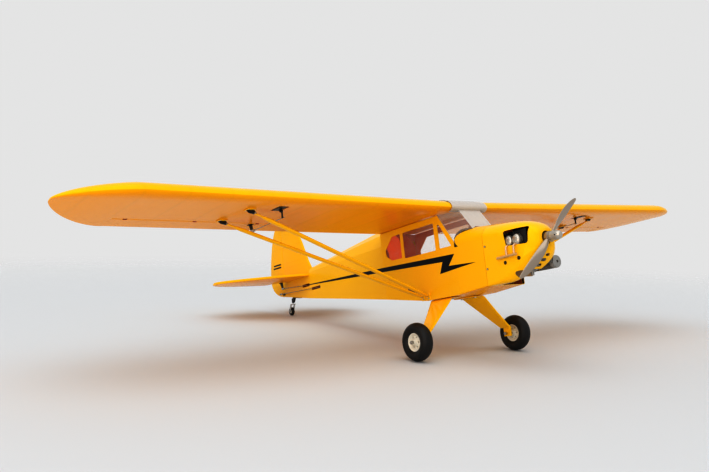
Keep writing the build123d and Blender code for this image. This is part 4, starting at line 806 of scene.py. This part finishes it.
def body_half(x):
    """Half width of the fuselage side at x."""
    rows = [(NOSE_ROWS[0][0], NOSE_ROWS[0][1]), (CABIN_FRONT, CABIN_HALF), (CABIN_REAR, CABIN_HALF)]
    rows += [(row[0], row[1]) for row in AFT_ROWS[1:]] + [(STERN, TAIL_ROWS[1][1])]
    for ahead_row, behind in zip(rows, rows[1:]):
        if behind[0] <= x <= ahead_row[0]:
            share = (ahead_row[0] - x) / (ahead_row[0] - behind[0])
            return ahead_row[1] + (behind[1] - ahead_row[1]) * share
    return rows[0][1]


def on_line(x, start, end):
    """Height at x of a straight line between two side-view points."""
    return start[1] + (end[1] - start[1]) * (x - start[0]) / (end[0] - start[0])


STRIPE_AFT = (-859.0, -85.0)
STRIPE_TOP = ((-320.0, -101.0), (-9.6, -110.0))
STRIPE_FOOT = ((-321.0, -112.5), (-55.7, -123.5))
ZIG_LOW = (-69.7, -152.8)
ZIG_INNER = (-34.1, -137.0)
ZIG_TIP = (61.0, -141.8)


def band(bm, side, lines, stops):
    """Thin strip standing just proud of the fuselage side, between an upper and a lower line."""
    path = []
    for x in sorted(stops):
        outer = (body_half(x) + STRIPE_PROUD) * side
        inner = (body_half(x) - 0.2) * side
        high, low = on_line(x, *lines[0]), on_line(x, *lines[1])
        path.append([(x, inner, high), (x, outer, high), (x, outer, low), (x, inner, low)])
    skin(bm, path)


STRIPE_POINT = STRIPE_TOP[1]
STRIPE_HEEL = STRIPE_FOOT[1]
for side, hand in SIDES:
    bm = bmesh.new()
    tail_high = (STRIPE_AFT, STRIPE_TOP[0])
    tail_low = ((STRIPE_AFT[0], STRIPE_AFT[1] - 0.4), STRIPE_FOOT[0])
    band(bm, side, (tail_high, tail_low), (-859, -764, -660, -558, -440, -320))
    band(bm, side, (STRIPE_TOP, STRIPE_FOOT), (-320, -303, -200, -120, STRIPE_HEEL[0]))
    under = (ZIG_LOW, ZIG_TIP)
    band(bm, side, ((ZIG_LOW, STRIPE_HEEL), under), (ZIG_LOW[0] + 0.3, STRIPE_HEEL[0]))
    band(bm, side, (STRIPE_TOP, under), (STRIPE_HEEL[0], ZIG_INNER[0]))
    band(bm, side, (STRIPE_TOP, (ZIG_INNER, STRIPE_POINT)), (ZIG_INNER[0], STRIPE_POINT[0] - 0.3))
    band(bm, side, ((ZIG_INNER, ZIG_TIP), under), (ZIG_INNER[0], CABIN_FRONT, 25, ZIG_TIP[0] - 0.5))
    stripe = built(bm, f"side_stripe_{hand}", [STRIPE_BLACK])
    placed(stripe, "airframe", "film")

# ------------ cowl
COWL_ROWS = (
    (91.0, 60.9, -205.9, -92.0, -53.1, 3.0), (120.0, 60.3, -205.4, -93.0, -55.6, 8.0),
    (150.0, 59.3, -204.4, -94.0, -58.2, 16.0), (175.0, 56.8, -199.0, -95.6, -61.6, 26.0),
    (195.0, 53.4, -191.6, -97.0, -65.2, 34.0), (208.0, 49.0, -183.6, -98.6, -69.4, 37.0),
    (219.0, 43.6, -174.6, -100.0, -74.6, 37.0), (227.0, 37.8, -166.0, -101.6, -80.2, 34.0),
    (233.0, 31.8, -157.8, -103.0, -86.2, 30.0), (236.6, 26.6, -150.4, -104.6, -91.6, 25.0),
    (237.9, 22.0, -143.6, -105.8, -96.2, 21.0),
)
COWL_SKIN = 1.2
CHEEK = ((157, -84), (222, -82), (218, -122), (162, -120))
bm = bmesh.new()
skin(bm, [cowl_loop(*row) for row in smooth_line(COWL_ROWS, 3)])
cowl = built(bm, "cowl_shell", [COWL_PAINT, PANEL], 28.0)
inner = [cowl_loop(*row, COWL_SKIN) for row in COWL_ROWS[:-2]]
inner[0] = cowl_loop(COWL_ROWS[0][0] - 3, *COWL_ROWS[0][1:], COWL_SKIN)
EXIT_HOLES = ((154.0, -158.5), (193.0, -153.0))
EXIT_RADIUS = 4.8
SHAFT_CLEARANCE = 16
NOSE_SLOTS = ((-1.0, -152.5), (-9.0, -163.5), (-16.0, -174.5))
SLOT_HALF_WIDTH, SLOT_HALF_HEIGHT = 7, 3.2
# The chin, the outlet underneath and the port side: two corners and the rounding of each
COWL_CUTS = (((174, -54, -225), (214, 54, -182), 5.0), ((98, -32, -230), (206, 75, -180), 5.0),
             ((152, 30, -230), (250, 75, -140), 4.0))
PORT_CORNER = ((44, -134), (-8, -190), (-8, -230), (75, -230), (75, -134))
CORNER_AT = 227
CORNER_HALF = 23
cutters = [cutter(PANEL, skin, inner), opening(CHEEK, COWL_PAINT, 90, 6, 5)]
cutters.append(cutter(COWL_PAINT, turned, (215, 0, THRUST), (1, 0, 0),
                      ((0, SHAFT_CLEARANCE), (30, SHAFT_CLEARANCE))))
cutters += [cutter(COWL_PAINT, turned, (x, -40, z), (0, -1, 0), [(y, EXIT_RADIUS) for y in (0, 35)], steps=24)
            for x, z in EXIT_HOLES]
cutters += [cutter(COWL_PAINT, slab, (200, across - SLOT_HALF_WIDTH, level - SLOT_HALF_HEIGHT),
                   (250, across + SLOT_HALF_WIDTH, level + SLOT_HALF_HEIGHT), 0, 2.9)
            for across, level in NOSE_SLOTS]
cutters += [cutter(COWL_PAINT, slab, low, high, 0, edge) for low, high, edge in COWL_CUTS]
cutters.append(cutter(COWL_PAINT, board, PORT_CORNER, lambda a, b, c: (CORNER_AT + c, a, b), CORNER_HALF,
                      0, 3.0))
carved(cowl, cutters, 28.0)
placed(cowl, "airframe", "cowl_paint", "cowl")

# ------------ dummy cylinders and pipes
PAN_SIDE = 41.0
DUMMY_Z = -109.0
HEAD_WIDE = 11.8
HEAD_HIGH = 14.6
HEAD_NUT = ((0, 2.2), (2.6, 2.2), (3.1, 1.6))
bm = bmesh.new()
for side in (1, -1):
    slab(bm, (160, side * (PAN_SIDE - 2), -126), (214, side * PAN_SIDE, -86), 2, 0.5)
    for x in (166.0, 190.0):
        heads = [(0.0, 0.8)]
        for ring in range(6):
            start = 0.4 + ring * 1.5
            heads += [(start, 0.90), (start, 1.0), (start + 0.8, 1.0), (start + 0.8, 0.90)]
        for step in range(10):
            angle = pi / 2 * step / 9
            heads.append((9.4 + 6.2 * sin(angle), 0.96 * max(cos(angle), 0.02) ** 0.8))
        loops = []
        for out, size in heads:
            loops.append([(x + HEAD_WIDE * size * c, side * (PAN_SIDE + out),
                           DUMMY_Z - 0.5 + HEAD_HIGH * size * s) for c, s in circle(40)])
        skin(bm, loops, 0)
        for height, lean in ((5, 0.3), (-6, -0.3)):
            turned(bm, (x + 2, side * (PAN_SIDE + 13), DUMMY_Z + height), (0, side, lean), HEAD_NUT, 0, 6)
        tube(bm, smooth_line(((x, side * (PAN_SIDE + 6), DUMMY_Z - 9), (x, side * 56, DUMMY_Z - 10.5),
                              (x, side * 62.6, DUMMY_Z - 14), (x, side * 64, -131), (x, side * 64, -143)), 5),
             2.4, 3)
        tube(bm, smooth_line(((x - 6, side * PAN_SIDE, DUMMY_Z + 16), (x - 4, side * 52, DUMMY_Z + 18),
                              (x - 1, side * 54.5, DUMMY_Z + 12)), 5), 0.9, 2)
    tube(bm, smooth_line(((135, side * 64, -145), (150, side * 64, -144.8), (180, side * 64, -144.2),
                          (196, side * 64, -144)), 4), 3.2, 1)
dummy = built(bm, "dummy_cylinders", [SATIN, PIPE, PANEL, STUB], 30.0)
placed(dummy, "airframe", "alloy", "dummy_engine")

# ------------ propeller and nut
PROP_TILT = radians(40.0)
PROP_PITCH = 152.0
BLADE_ROWS = ((9, 9, 9, 0), (18, 13, 8.8, 0.5), (28, 16.5, 7.5, 1.6), (45, 19.5, 6.0, 3.0),
              (60, 21, 5.0, 3.6), (80, 21.5, 4.2, 3.6), (95, 20.5, 3.6, 3.0), (112, 18, 3.0, 1.8),
              (128, 14.5, 2.4, 0.2), (141, 10, 1.9, -1.4), (148, 6, 1.5, -2.4), (150, 2.6, 1.0, -2.8))
PROP_BOSS = ((0, 11.6), (0.6, 12.8), (3, 13.0), (9, 13.0), (11.4, 12.8), (12, 11.6))
NUT_RADIUS = 11.0
NUT_BARREL = 17
NUT_DOME = 12.7
bm = bmesh.new()
for turn in (PROP_TILT, PROP_TILT + pi):
    outward = Vector((0, cos(turn), sin(turn)))
    loops = []
    for radius, chord, thick, sweep in smooth_line(BLADE_ROWS, 4):
        twist = atan(PROP_PITCH / (2 * pi * max(radius, 30.0)))
        chord_line = Vector((sin(twist), -cos(twist) * outward.z, cos(twist) * outward.y))
        normal = outward.cross(chord_line)
        middle = Vector((PROP_AT, 0, THRUST)) + outward * radius + chord_line * sweep
        loop = []
        for c, s in circle(28):
            swell = thick * (0.5 if s > 0 else 0.28)
            loop.append(middle + chord_line * (chord / 2 * c) + normal * (swell * s))
        loops.append(loop)
    skin(bm, loops)
turned(bm, (240, 0, THRUST), (1, 0, 0), PROP_BOSS)
prop = built(bm, "propeller_blades", [BLADE_FINISH], 50.0)
placed(prop, "prop", "prop_finish", "propeller")

bm = bmesh.new()
profile = [(0, 10.0), (0.8, 10.9), (4.0, NUT_RADIUS), (4.3, 10.6), (4.6, NUT_RADIUS)]
profile.append((NUT_BARREL, NUT_RADIUS))
for step in range(1, 17):
    angle = pi / 2 * step / 16
    profile.append((NUT_BARREL + NUT_DOME * sin(angle), NUT_RADIUS * max(cos(angle), 0.001) ** 0.7))
turned(bm, (252, 0, THRUST), (1, 0, 0), profile, 0, 56)
nut = built(bm, "prop_nut", [SATIN, PANEL], 40.0)
bar_hole = cutter(PANEL, turned, (271, -15, THRUST), (0, 1, 0), ((0, 1.6), (30, 1.6)), 0, 20)
shaft_bore = cutter(STEEL, turned, (251, 0, THRUST), (1, 0, 0), ((0, 5.02), (15.5, 5.02)), 0, 32)
carved(nut, [bar_hole, shaft_bore], 40.0)
placed(nut, "prop", "alloy", "spinner_nut")

# ------------ muffler
bm = bmesh.new()
MUFFLER_SIDE, MUFFLER_LEVEL = 78, -163
profile = [(0, 9.0), (1, 10.2), (8, 10.8), (20, 13.2), (33, 15.2), (38, 15.5), (84, 15.5), (84.4, 14.9),
           (85.6, 14.9), (86, 15.5), (95, 15.5), (97, 14.6), (98, 12.0), (98, 3.4), (94, 3.2), (93.8, 0.0)]
turned(bm, (97, MUFFLER_SIDE, MUFFLER_LEVEL), (1, 0, 0), profile, 0, 56)
outlet = ((0.0, 3.5), (0.0, 5.0), (1.2, 5.0), (1.6, 4.7), (2.0, 5.0), (15, 5.0), (15, 3.5))
turned(bm, (83, MUFFLER_SIDE, MUFFLER_LEVEL), (1, 0, 0), outlet, 0, 32, closed=True)
NECK_AT = 181
NECK_START, NECK_END = (24.1, -145.1), (73, -163)
neck = []
for share in [n / 8 for n in range(9)]:
    side = NECK_START[0] + (NECK_END[0] - NECK_START[0]) * share
    height = NECK_START[1] + (NECK_END[1] - NECK_START[1]) * share
    wide = 12 - 2 * share
    deep = 5.5 + 1.5 * share
    neck.append([(NECK_AT + wide * squarish(c, 0.6), side, height + deep * squarish(s, 0.6))
                 for c, s in circle(20)])
skin(bm, neck)
for face in bm.faces:
    if face.calc_center_median().x > 182.5 * MM and face.calc_center_median().y > 60 * MM:
        face.material_index = 1
muffler = built(bm, "muffler_body", [DARK_CAST, CAST], 30.0)
placed(muffler, "airframe", "alloy", "muffler")

# ------------ main wheels
AXLE = (-62.0, 174.0, -320.6)
TYRE_HALF = 17.0
BEAD = ((-10.8, 23.0), (-11.6, 24.5), (-13.2, 26.5), (-15.4, 29.5))
TREAD_FROM = 45.5
GROOVE = 0.5
HUB_SIDE = ((-15, 2.05), (-15, 6.4), (-14.4, 7.0), (-10, 8.4), (-8.6, 9.4), (-7.2, 12.0), (-6.6, 16.0),
            (-8.2, 18.2), (-9.6, 19.6), (-11.0, 21.4), (-11.2, 22.6), (-10.6, 23.0))
WEB_HOLES = 6
WEB_CIRCLE = 13.2
for side, hand in SIDES:
    centre = (AXLE[0], side * AXLE[1], AXLE[2])
    bm = bmesh.new()
    profile = [*BEAD]
    for step in range(25):
        angle = pi + pi * step / 24
        profile.append((TYRE_HALF * cos(angle), 35.0 - 12.5 * sin(angle)))
    profile += mirror(BEAD)
    grooved = []
    for distance, radius in profile:
        cut_here = radius > TREAD_FROM and abs(distance) > 1.0 and round(abs(distance)) % 4 == 0
        grooved.append((distance, radius - GROOVE * cut_here))
    turned(bm, centre, (0, 1, 0), grooved, 0, 96, closed=True)
    for bead in (-1, 1):
        rim = [(bead * 14.9, 30.5), (bead * 15.6, 30.9), (bead * 15.9, 31.5), (bead * 15.2, 31.6)]
        turned(bm, centre, (0, 1, 0), rim, 0, 96, closed=True)
    placed(built(bm, f"tyre_tread_{hand}", [RUBBER], 30.0), f"wheel_{hand}", "rubber", f"tyre_{hand}")
    bm = bmesh.new()
    turned(bm, centre, (0, 1, 0), [*HUB_SIDE, *mirror(HUB_SIDE)], 0, 72, closed=True)
    hub = built(bm, f"wheel_hub_{hand}", [CREAM], 30.0)
    holes = []
    for c, s in circle(WEB_HOLES):
        spot = (centre[0] + WEB_CIRCLE * c, centre[1] - 20, centre[2] + WEB_CIRCLE * s)
        holes.append(cutter(CREAM, turned, spot, (0, 1, 0), ((0, 2.3), (40, 2.3)), 0, 20))
    carved(hub, holes, 30.0)
    placed(hub, f"wheel_{hand}", "white_nylon", f"hub_{hand}")

# ------------ tail wheel
TAIL_AXLE = (-931.4, 0.0, -162.0)
bm = bmesh.new()
TAIL_BEAD = ((-4.4, 6.2), (-4.5, 7.4), (-4.2, 8.2), (-4.5, 9.5))
TAIL_HUB = ((-6, 1.55), (-6, 3.2), (-4, 3.6), (-3.4, 5.2), (-4.0, 6.3))
profile = [*TAIL_BEAD]
for step in range(15):
    angle = pi + pi * step / 14
    profile.append((4.5 * cos(angle), 11.0 - 3.5 * sin(angle)))
profile += mirror(TAIL_BEAD)
turned(bm, TAIL_AXLE, (0, 1, 0), profile, 0, 48, closed=True)
turned(bm, TAIL_AXLE, (0, 1, 0), [*TAIL_HUB, *mirror(TAIL_HUB)], 1, 40, closed=True)
tail_wheel = built(bm, "tail_tyre", [RUBBER, CREAM], 30.0)
placed(tail_wheel, "tail_roller", "rubber", "tail_wheel")

# ------------ undercarriage legs
LEG_PATH = ((-86, 22, -216.8, 78), (-86, 50, -216.9, 79), (-85.5, 58, -219.0, 79), (-83, 68, -229, 74),
            (-76, 100, -261, 56), (-66.5, 144, -303.5, 34.5))
for side, hand in SIDES:
    bm = bmesh.new()
    rows = smooth_line(LEG_PATH, 4)
    loops = []
    for k, (x, y, z, wide) in enumerate(rows):
        before, after = rows[max(k - 1, 0)], rows[min(k + 1, len(rows) - 1)]
        run = Vector((0, after[1] - before[1], after[2] - before[2])).normalized()
        flat = Vector((0, -run.z, run.y)) if run.y else Vector((0, 1, 0))
        thick = 1.4 if y < 55 else min(3.0, 1.4 + (y - 50) * 0.12)
        loop = []
        for c, s in circle(20):
            a = squarish(c, 0.25) * wide / 2
            point = Vector((x, y, z)) + Vector((1, 0, 0)) * a + flat * (squarish(s, 0.6) * thick)
            loop.append((point.x, side * point.y, point.z))
        loops.append(loop)
    skin(bm, loops)
    slab(bm, (-74, side * 143.2, -328.4), (-50, side * 148.8, -301.5), 0, 1.2)
    placed(built(bm, f"leg_{hand}", [COWL_PAINT], 40.0), "airframe", "strut_paint", f"gear_leg_{hand}")

# ------------ wing struts
FITTINGS = {"front": (86.0, 583.0, 11.0), "rear": (203.0, 596.0, -11.0)}
STRUT_FOOT = (-134.0, 68.0, -207.0)
STRUT_ROWS = ((0.0, 7.0, 4.0), (0.004, 9.0, 5.0), (0.03, 13.0, 6.8), (0.06, 17.0, 8.0), (0.3, 17.0, 8.0),
              (0.6, 17.0, 8.0), (0.93, 17.0, 8.0), (0.955, 12.0, 6.4), (0.965, 7.0, 4.0), (1.0, 7.0, 4.0))
CLEVIS_SIDE = ((3, -2), (20, -2), (14, -8), (3, -9.6), (-3, -10.8), (-3, -8.4))
CLEVIS_GAP = 2.6
CLEVIS_BOLT = ((0, 1.6), (0.4, 2.1), (1.2, 2.1), (1.2, 1.0), (8.6, 1.0), (8.6, 2.0), (9.6, 2.0))
WING_SCREW = ((0, 1.9), (0.5, 1.7), (0.9, 1.0))
FOOT_BOLT = ((0, 1.2), (6.5, 1.2), (6.5, 2.4), (8.4, 2.4), (8.8, 1.6))
FOOT_SCREW = ((0, 2.0), (1.6, 1.9), (2.2, 1.0))
for side, hand in SIDES:
    for which, (aft, out, shift) in FITTINGS.items():
        foot = Vector((STRUT_FOOT[0] + shift, side * (STRUT_FOOT[1] + 4), STRUT_FOOT[2] + 4))
        head = wing_point(aft, -9.0, out, side)
        run = head - foot
        across = run.cross(Vector((1, 0, 0))).cross(run).normalized()
        thin = run.cross(across).normalized()
        bm = bmesh.new()
        loops = []
        for share, wide, thick in STRUT_ROWS:
            loops.append([foot + run * share + across * (wide / 2 * c) + thin * (thick / 2 * s)
                          for c, s in circle(24)])
        skin(bm, loops)
        strut = built(bm, f"{which}_strut_tube_{hand}", [COWL_PAINT], 50.0)
        placed(strut, "airframe", "strut_paint", f"{which}_strut_{hand}")

bm = bmesh.new()
for side in (1, -1):
    for aft, out, shift in FITTINGS.values():
        corners = [(aft - 12, out + 2), (aft + 12, out + 2), (aft + 12, out + 22), (aft - 12, out + 22)]

        def under_wing(a, b, c, side=side):
            return tuple(wing_point(a, c - 1.15, b, side))

        board(bm, corners, under_wing, 1.05, 2, 0.4)

        def standing(a, b, c, aft=aft, side=side):
            return tuple(wing_point(aft + c, b, a, side))

        for apart in (-CLEVIS_GAP, CLEVIS_GAP):
            board(bm, [(out + a, b) for a, b in CLEVIS_SIDE], lambda a, b, c: standing(a, b, c + apart),
                  0.7, 0, 0.25)
        bolt = wing_point(aft, -8.6, out + 1.2, side)
        turned(bm, bolt - Vector((4.6, 0, 0)), (1, 0, 0), CLEVIS_BOLT, 1, 16)
        for dx, dy in ((-8, 6), (8, 6), (-8, 18), (8, 18)):
            spot = wing_point(aft + dx, -2.1, out + dy, side)
            turned(bm, spot, -WING_UP * 1.0, WING_SCREW, 1, 16)
    for shift in (-11.0, 11.0):
        x = STRUT_FOOT[0] + shift
        y = side * (CABIN_HALF + 0.9)
        slab(bm, (x - 6, side * (CABIN_HALF + 0.1), -214), (x + 6, side * (CABIN_HALF + 1.6), -195), 2, 0.5)
        turned(bm, (x, y, -203.5), (0, side, 0), FOOT_BOLT, 1, 16)
        turned(bm, (x, y, -209.5), (0, side, 0), FOOT_SCREW, 1, 16)
fittings = built(bm, "strut_clevises", [NYLON, STEEL, COWL_PAINT], 35.0)
placed(fittings, "airframe", "black_nylon", "strut_fittings")

# ------------ tail surfaces
STAB_SIDE = ((DECK_END, 0), (DECK_END, 26), (-776, 58), (-790, 90), (-808, 130), (-832, 170), (-852, 204),
             (-872, 232), (-889, 253), (-905, 268), (-918, 277), (-930, 282))
ELEVATOR_HINGE = -944.0
STAB_EDGE = ELEVATOR_HINGE + 4.5
ELEVATOR_SIDE = ((-944, 282), (-953, 281.5), (-962, 279), (-974, 273.5), (-984, 266), (-995, 255),
                 (-1004, 240), (-1012, 221), (-1018, 200), (-1022.5, 175), (-1024, 150), (-1024, 98),
                 (-1024, 52), (-1021, 44), (-944, 16))
RUDDER_HINGE = -957.0
FIN_SIDE = ((-775, -50.9), (-776, -34), (-782, -22), (-792, -6), (-802, 15), (-812, 38), (-822, 61),
            (-834, 84), (-847, 105), (-862, 122), (-879, 137), (-898, 148), (-915, 154), (-932, 157))
FIN_EDGE = RUDDER_HINGE + 4.0
RUDDER_SIDE = ((-957, 157), (-966, 156), (-976, 152), (-988, 146), (-998, 136), (-1009, 120),
               (-1018, 102), (-1027, 80), (-1033.6, 58), (-1040.4, 34), (-1045.4, 10), (-1049.5, -15),
               (-1052, -40), (-1050.5, -54), (-1046, -66), (-1038, -78), (-1026, -88), (-1012, -96),
               (-995, -102), (-976, -106), (-957, -108))

bm = bmesh.new()
outline = [*STAB_SIDE, (STAB_EDGE, 282), (STAB_EDGE, -282)] + [(x, -y) for x, y in reversed(STAB_SIDE[1:])]
board(bm, outline, level_at(STAB_HEIGHT), 4.0, 0, 2.2, 4)
placed(built(bm, "tailplane", [TAIL_FILM], 40.0), "airframe", "film", "stabiliser")

bm = bmesh.new()
for side in (1, -1):
    board(bm, [(x, side * y) for x, y in ELEVATOR_SIDE], level_at(STAB_HEIGHT), 2.6, 0, 2.0, 4)
    tube(bm, [(ELEVATOR_HINGE, side * y, STAB_HEIGHT) for y in (16, 100, 200, 282)], 3.95, 0, 20)
    tube(bm, [(ELEVATOR_HINGE, side * y, STAB_HEIGHT) for y in (0, 10, 20)], 2.0, 1, 16)
elevator = built(bm, "elevator_flaps", [TAIL_FILM, STEEL], 40.0)
placed(elevator, "elevator_turn", "film", "elevator")

bm = bmesh.new()
board(bm, [*FIN_SIDE, (FIN_EDGE, 157), (FIN_EDGE, -50.9)], upright, 3.5, 0, 1.8, 4)
fin = built(bm, "fin_panel", [FIN_FILM], 40.0)
placed(fin, "airframe", "film", "fin")
bm = bmesh.new()
board(bm, RUDDER_SIDE, upright, 2.8, 0, 2.0, 4)
tube(bm, [(RUDDER_HINGE, 0, z) for z in (-108, -20, 60, 157)], 3.45, 0, 20)
rudder = built(bm, "rudder_panel", [FIN_FILM], 40.0)
placed(rudder, "rudder_turn", "film", "rudder")

# Plain black blocks on both sides of the rudder, in place of any marking
bm = bmesh.new()
for low, high in (((-1022, 8), (-972, 13)), ((-1026, -2), (-972, 3))):
    slab(bm, (low[0], -2.92, low[1]), (high[0], 2.92, high[1]), 0, 0)
blocks = built(bm, "rudder_blocks", [STRIPE_BLACK])
placed(blocks, "rudder_turn", "film")

# ------------ finishes for the carried-over nodes
CARRIED = (
    (SCREEN, ["windscreen"]), (PANE, ["side_windows"]), (PANEL, ["instrument_panel"]),
    (BALSA, ["wing_frame"]), (PLY, ["fuselage_frame"]), (TANK, ["fuel_tank"]),
    (CASE, ["radio_gear", "servos"]), (CAST, ["crankcase", "cylinder", "carburettor"]),
    (WHITE_NYLON, ["throttle_servo_arm", "elevator_servo_arm", "rudder_servo_arm", "hinges"]),
    (NYLON, ["engine_mount", "aileron_servo_arm_left", "aileron_servo_arm_right", "aileron_horn_left",
             "aileron_horn_right", "elevator_horn", "rudder_horn", "radio_switch", "tail_bracket"]),
    (STEEL, ["crankshaft", "throttle_arm", "throttle_pushrod", "aileron_pushrod_left",
             "aileron_pushrod_right", "elevator_pushrod", "rudder_pushrod", "screws", "axles", "tail_fork"]),
)
for mat, nodes in CARRIED:
    for node in nodes:
        materials = bpy.data.objects[node].data.materials
        materials.clear()
        materials.append(mat)

# ------------ camera, light and floor
FLOOR_GAP = 0.0005
FADE_FROM, FADE_TO = 1.3, 4.5
floor_mesh = bmesh.new()
bmesh.ops.create_grid(floor_mesh, x_segments=2, y_segments=2, size=30.0)
mesh = bpy.data.meshes.new("floor")
floor_mesh.to_mesh(mesh)
floor_mesh.free()
floor = shown("floor", mesh)
floor.location.z = -FLOOR_GAP
mat, tree, shader = nodes_of("pale_floor")
spread = tree.nodes.new("ShaderNodeTexCoord").outputs["Object"]
shader.inputs["Base Color"].default_value = (0.648, 0.658, 0.667, 1)
shader.inputs["Roughness"].default_value = 0.75
shader.inputs["Specular IOR Level"].default_value = 0.2
reach = tree.nodes.new("ShaderNodeVectorMath")
reach.operation = "LENGTH"
tree.links.new(spread, reach.inputs[0])
fade = tree.nodes.new("ShaderNodeMapRange")
fade.interpolation_type = "SMOOTHSTEP"
for key, value in (("From Min", FADE_FROM), ("From Max", FADE_TO), ("To Min", 1.0), ("To Max", 0.0)):
    fade.inputs[key].default_value = value
tree.links.new(reach.outputs["Value"], fade.inputs["Value"])
tree.links.new(fade.outputs[0], shader.inputs["Alpha"])
mesh.materials.append(mat)

EYE = Vector((1.4745 + origin.x, -1.4288, 0.3547))
YAW, PITCH, ROLL = (radians(angle) for angle in (144.23, -1.47, 1.35))
look = Vector((cos(YAW) * cos(PITCH), sin(YAW) * cos(PITCH), sin(PITCH)))
flat_right = look.cross(Vector((0, 0, 1))).normalized()
flat_up = flat_right.cross(look)
right = flat_right * cos(ROLL) + flat_up * sin(ROLL)
top = flat_up * cos(ROLL) - flat_right * sin(ROLL)
lens = bpy.data.cameras.new("camera")
lens.lens = 39.75
lens.sensor_width = 36.0
lens.clip_start = 0.05
camera = shown("camera", lens)
camera.matrix_world = axes_at(right, top, -look, EYE)
bpy.context.scene.camera = camera


def softbox(name, place, target, size, power, tint=(1, 1, 1)):
    """Square area light aimed at a point."""
    lamp = bpy.data.lights.new(name, "AREA")
    lamp.shape = "RECTANGLE"
    lamp.size, lamp.size_y = size
    lamp.energy = power
    lamp.color = tint
    obj = shown(name, lamp)
    obj.location = place
    obj.rotation_euler = (Vector(target) - Vector(place)).to_track_quat("-Z", "Y").to_euler()
    return obj


softbox("camera_side", (2.8, -3.2, 2.2), (0.2, 0, 0.2), (2.2, 1.6), 24.0)
low_fill = softbox("low_fill", (1.9, -2.3, 0.35), (0.1, 0, 0.42), (2.4, 0.5), 16.0, (1.0, 0.76, 0.52))
# The low fill skips the floor
unlit = bpy.data.collections.new("not_lit_by_low_fill")
unlit.objects.link(floor)
low_fill.light_linking.receiver_collection = unlit
unlit.collection_objects[0].light_linking.link_state = "EXCLUDE"
sky = bpy.data.lights.new("overhead", "SUN")
sky.energy = 1.15
sky.angle = radians(75)
overhead = shown("overhead", sky)
overhead.rotation_euler = Vector((-0.25, 0.30, -1)).to_track_quat("-Z", "Y").to_euler()
world = bpy.data.worlds.new("studio")
bpy.context.scene.world = world
world.use_nodes = True
backdrop = world.node_tree.nodes["Background"].inputs
backdrop["Color"].default_value = (0.85, 0.85, 0.85, 1)
backdrop["Strength"].default_value = 1.0
bpy.context.scene.view_settings.view_transform = "Standard"
bpy.context.scene.view_settings.gamma = 0.64
